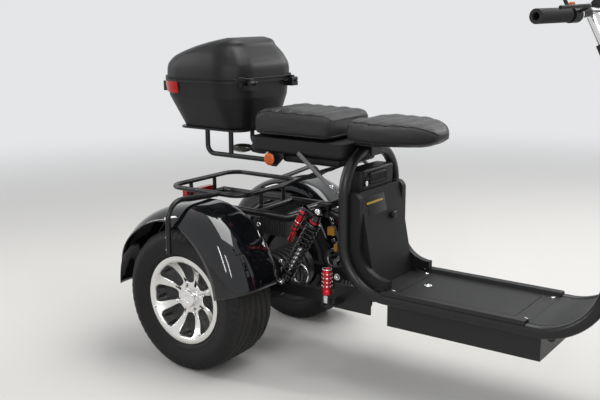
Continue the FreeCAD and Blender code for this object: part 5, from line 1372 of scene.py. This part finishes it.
def wall_of(node, y, levels):
    """Where a node's front wall stands at two levels: a point on it, and its three directions, which are
    across, up along the wall, and out of it."""
    tree = BVHTree.FromObject(frame["nodes"][node], bpy.context.evaluated_depsgraph_get())
    spots = []
    for level in levels:
        start = Vector(in_frame((1000, y, level)))
        spots.append(np.array(tree.ray_cast(start, Vector((-1, 0, 0)))[0]))
    low, high = [(spot - (AXLE_X, 0, 0)) / MM for spot in spots]
    up = unit(high - low)
    return low, np.array([(0, 1, 0), up, np.cross((0, 1, 0), up)])


class TRIKE_OT_battery_face(Operator):
    """Finish the battery bay's face: blank label, stripe, plug, and the battery's grip and lock"""
    bl_idname = "trike.battery_face"
    bl_label = "Battery face"

    def execute(self, context):
        front = low_high("battery_pack")[1][0]
        spot, axes = wall_of("bay_fairing", 0, (430, 540))
        label = [block((-90, 86, -1), (14, 142, 0.8), 0.6, 3, spot, axes)]
        stripe = [block((-92, 121, -0.5), (0, 127, 1.4), 0.5, 3, spot, axes)]
        plug = [block((30, 56, -2), (60, 76, 12), 5, 5, spot, axes)]
        grip = [block((front - 4, -60, 604), (front + 3, 43, 640), 6, 6)]
        ribs = [block((front - 2, -52 + 12 * k, 610), (front + 5, -46 + 12 * k, 634), 2, 4) for k in range(8)]
        lock = [lathe([(0, 0), (8, 0), (8, 3), (6, 4.5), (0, 4.5)], (front - 1, -78, 610), FORWARDS, 24)]
        for kind, parts, finish in (("label", label, "label"), ("stripe", stripe, "stripe"),
                                    ("grip", grip + ribs, "battery"), ("plug", plug, "battery")):
            settle(build("battery_" + kind, parts), finish, "chassis")
        settle(build("battery_lock", lock), "chrome", "chassis")
        return {"FINISHED"}


class TRIKE_OT_bar_buttons(Operator):
    """Set an amber and a red button on each switch pod of the handlebar, and a chrome ring beside it"""
    bl_idname = "trike.bar_buttons"
    bl_label = "Bar buttons"

    def execute(self, context):
        joint = next(joint for joint in frame["joints"] if joint["child"] == "steering")
        head = np.round((np.array(joint["pos_m"]) - (AXLE_X, 0, 0)) / MM)
        upward = np.array(joint["axis"])
        ahead = np.cross((0, 1, 0), upward)
        for label, side in SIDES:
            start = head + 23 * ahead + 330 * upward + (0, side * 206, 0)
            end = head - 11 * ahead + 344 * upward + (0, side * 372, 0)
            line = unit(end - start)
            foot = start + line * 25
            for kind, finish, slot, rise, lean in (("amber", "amber", "amber_lens", 0.9, 0.3),
                                                   ("red", "reflector", "red_lens", 0.94, -0.31)):
                out = unit(rise * upward + lean * ahead)
                out = unit(out - line * (out @ line))
                cap = rod(foot + out * 16, foot + out * 29, 7, 24, 2)
                settle(build(f"bar_button_{kind}_{label}", [cap]), finish, "steering")
            ring = lathe([(11.5, 0), (15.5, 0.8), (15.5, 5.2), (11.5, 6), (11.5, 0)], start - line, line, 32)
            settle(build("bar_ring_" + label, [ring]), "chrome", "steering")
        return {"FINISHED"}


class TRIKE_OT_deck_screws(Operator):
    """Set the deck's screws and the hatch's lock"""
    bl_idname = "trike.deck_screws"
    bl_label = "Deck screws"

    def execute(self, context):
        level = low_high("deck_hatch")[1][2]
        screws = [part for x in (603, 1009) for part in dome_bolt((x, -107, level), UP, 7, 3)]
        settle(build("deck_screws", both_sides(screws)), "zinc", "chassis")
        lock = [lathe([(0, 0), (13, 0), (13, 2), (11, 3), (0, 3)], (662, 0, level), UP, 32),
                block((660.5, -8, level + 2.4), (663.5, 8, level + 4.4), 0.6)]
        settle(build("hatch_lock", lock), "chrome", "deck_hatch")
        return {"FINISHED"}


# ---------------------------------------------------------------- stage

BACKDROP = (0.78, 0.79, 0.80)
SKY_LIGHT = 0.34      # share of the backdrop's colour that lights the trike


def soft_box(name, place, target, size, power):
    """A rectangular area lamp that faces its target."""
    lamp = bpy.data.lights.new(name, "AREA")
    lamp.shape = "RECTANGLE"
    lamp.size, lamp.size_y = size
    lamp.energy = power
    holder = bpy.data.objects.new(name, lamp)
    holder.location = place
    holder.rotation_euler = (Vector(target) - Vector(place)).to_track_quat("-Z", "Y").to_euler()
    bpy.context.scene.collection.objects.link(holder)


def studio_world(scene):
    """Plain light from all round; rays that show the surroundings see the backdrop's colour instead."""
    world = bpy.data.worlds.new("studio")
    scene.world = world
    world.use_nodes = True
    nodes = Nodes(world.node_tree)
    seen = nodes.seen_directly()
    strength = seen * (1 - SKY_LIGHT) + SKY_LIGHT
    sky = nodes.node("Background", sockets={"Color": BACKDROP, "Strength": strength})
    nodes.node("OutputWorld", sockets={"Surface": sky})


def studio_floor(colour):
    """A round floor: its colour near the trike, and the backdrop's further out, mixed by the distance."""
    rows, columns, reach = 40, 96, 26000
    out = (np.linspace(0, 1, rows) ** 2 * reach)[:, None]
    turn = np.linspace(0, 2 * np.pi, columns, endpoint=False)[None, :]
    rings = np.stack([out * np.cos(turn), out * np.sin(turn), 0 * out * turn], -1)
    floor = build("studio_floor", [grid(rings)])
    finish = Finish("studio_floor", roughness=0.7, specular_ior_level=0.2)
    finish.set("Base Color", finish.mixed(finish.noise(0.7, 3) * 0.2, colour, shade(colour, 0.96)))
    x, y, _ = finish.axes()
    far = (x * x + y * y) ** 0.5
    share = far.between(1.9, 6.0) * finish.seen_directly()
    glow = finish.node("Emission", sockets={"Color": BACKDROP, "Strength": 1.0})
    both = finish.node("MixShader", sockets={0: share, 1: finish.shaded, 2: glow})
    finish.feed(finish.output.inputs["Surface"], both)
    floor.data.materials.append(finish.material)


class TRIKE_OT_stage(Operator):
    """Lay the pale floor, hang the soft lamps and set the camera"""
    bl_idname = "trike.stage"
    bl_label = "Stage"

    def execute(self, context):
        scene = context.scene
        scene.view_settings.view_transform = "Standard"
        studio_floor(scene.trike_finish.floor)
        studio_world(scene)
        soft_box("overhead_box", (0.2, 0.5, 3.4), (-0.2, 0, 0.4), (3.2, 1.6), 100)
        for name, place, size, power in (
                ("side_strip", (0.9, -3.6, 2.1), (0.16, 2.2), 30),
                ("second_strip", (1.9, -3.2, 1.9), (0.12, 1.8), 20),
                ("rear_strip", (-3.2, -1.4, 1.9), (0.30, 1.8), 30),
                ("back_strip", (0.6, 3.4, 2.2), (2.4, 0.5), 40)):
            soft_box(name, place, (-0.3, 0, 0.5), size, power)
        camera = bpy.data.objects.new("camera", bpy.data.cameras.new("camera"))
        camera.data.sensor_width = 36
        camera.data.lens = 51.65
        azimuth, pitch, roll = (math.radians(angle) for angle in (35.445, 12.436, -0.178))
        level = math.cos(pitch)
        look = Vector((-math.sin(azimuth) * level, math.cos(azimuth) * level, -math.sin(pitch)))
        camera.location = (AXLE_X + 1.787, -2.244, 1.116)
        turn = look.to_track_quat("-Z", "Y").to_matrix().to_4x4() @ Matrix.Rotation(roll, 4, "Z")
        camera.rotation_euler = turn.to_euler()
        scene.collection.objects.link(camera)
        scene.camera = camera
        return {"FINISHED"}


# ---------------------------------------------------------------- panel and order of work

OPERATORS = (TRIKE_OT_finishes, TRIKE_OT_tyres, TRIKE_OT_rims, TRIKE_OT_seats, TRIKE_OT_fenders,
             TRIKE_OT_case_lid, TRIKE_OT_shocks, TRIKE_OT_pegs, TRIKE_OT_bolts, TRIKE_OT_hugger,
             TRIKE_OT_controller, TRIKE_OT_tail_marker, TRIKE_OT_seat_support, TRIKE_OT_plugs,
             TRIKE_OT_lamps, TRIKE_OT_battery_face, TRIKE_OT_deck_screws, TRIKE_OT_bar_buttons,
             TRIKE_OT_stage)


class TRIKE_PT_panel(Panel):
    """The steps of the trike, in the 3D view's sidebar"""
    bl_idname = "TRIKE_PT_panel"
    bl_label = "Trike"
    bl_space_type = "VIEW_3D"
    bl_region_type = "UI"
    bl_category = "Trike"

    def draw(self, context):
        for step in OPERATORS:
            self.layout.operator(step.bl_idname)
        for group in (context.scene.trike_sizes, context.scene.trike_finish):
            for name in group.__annotations__:
                self.layout.prop(group, name)


CLASSES = (TrikeSizes, TrikeFinish, *OPERATORS, TRIKE_PT_panel)


def register():
    for cls in CLASSES:
        bpy.utils.register_class(cls)
    bpy.types.Scene.trike_sizes = PointerProperty(type=TrikeSizes)
    bpy.types.Scene.trike_finish = PointerProperty(type=TrikeFinish)


def unregister():
    del bpy.types.Scene.trike_finish
    del bpy.types.Scene.trike_sizes
    for cls in reversed(CLASSES):
        bpy.utils.unregister_class(cls)


def main():
    """Run every operator in turn."""
    register()
    for step in OPERATORS:
        group, name = step.bl_idname.split(".")
        getattr(getattr(bpy.ops, group), name)()


if __name__ == "__main__":
    main()
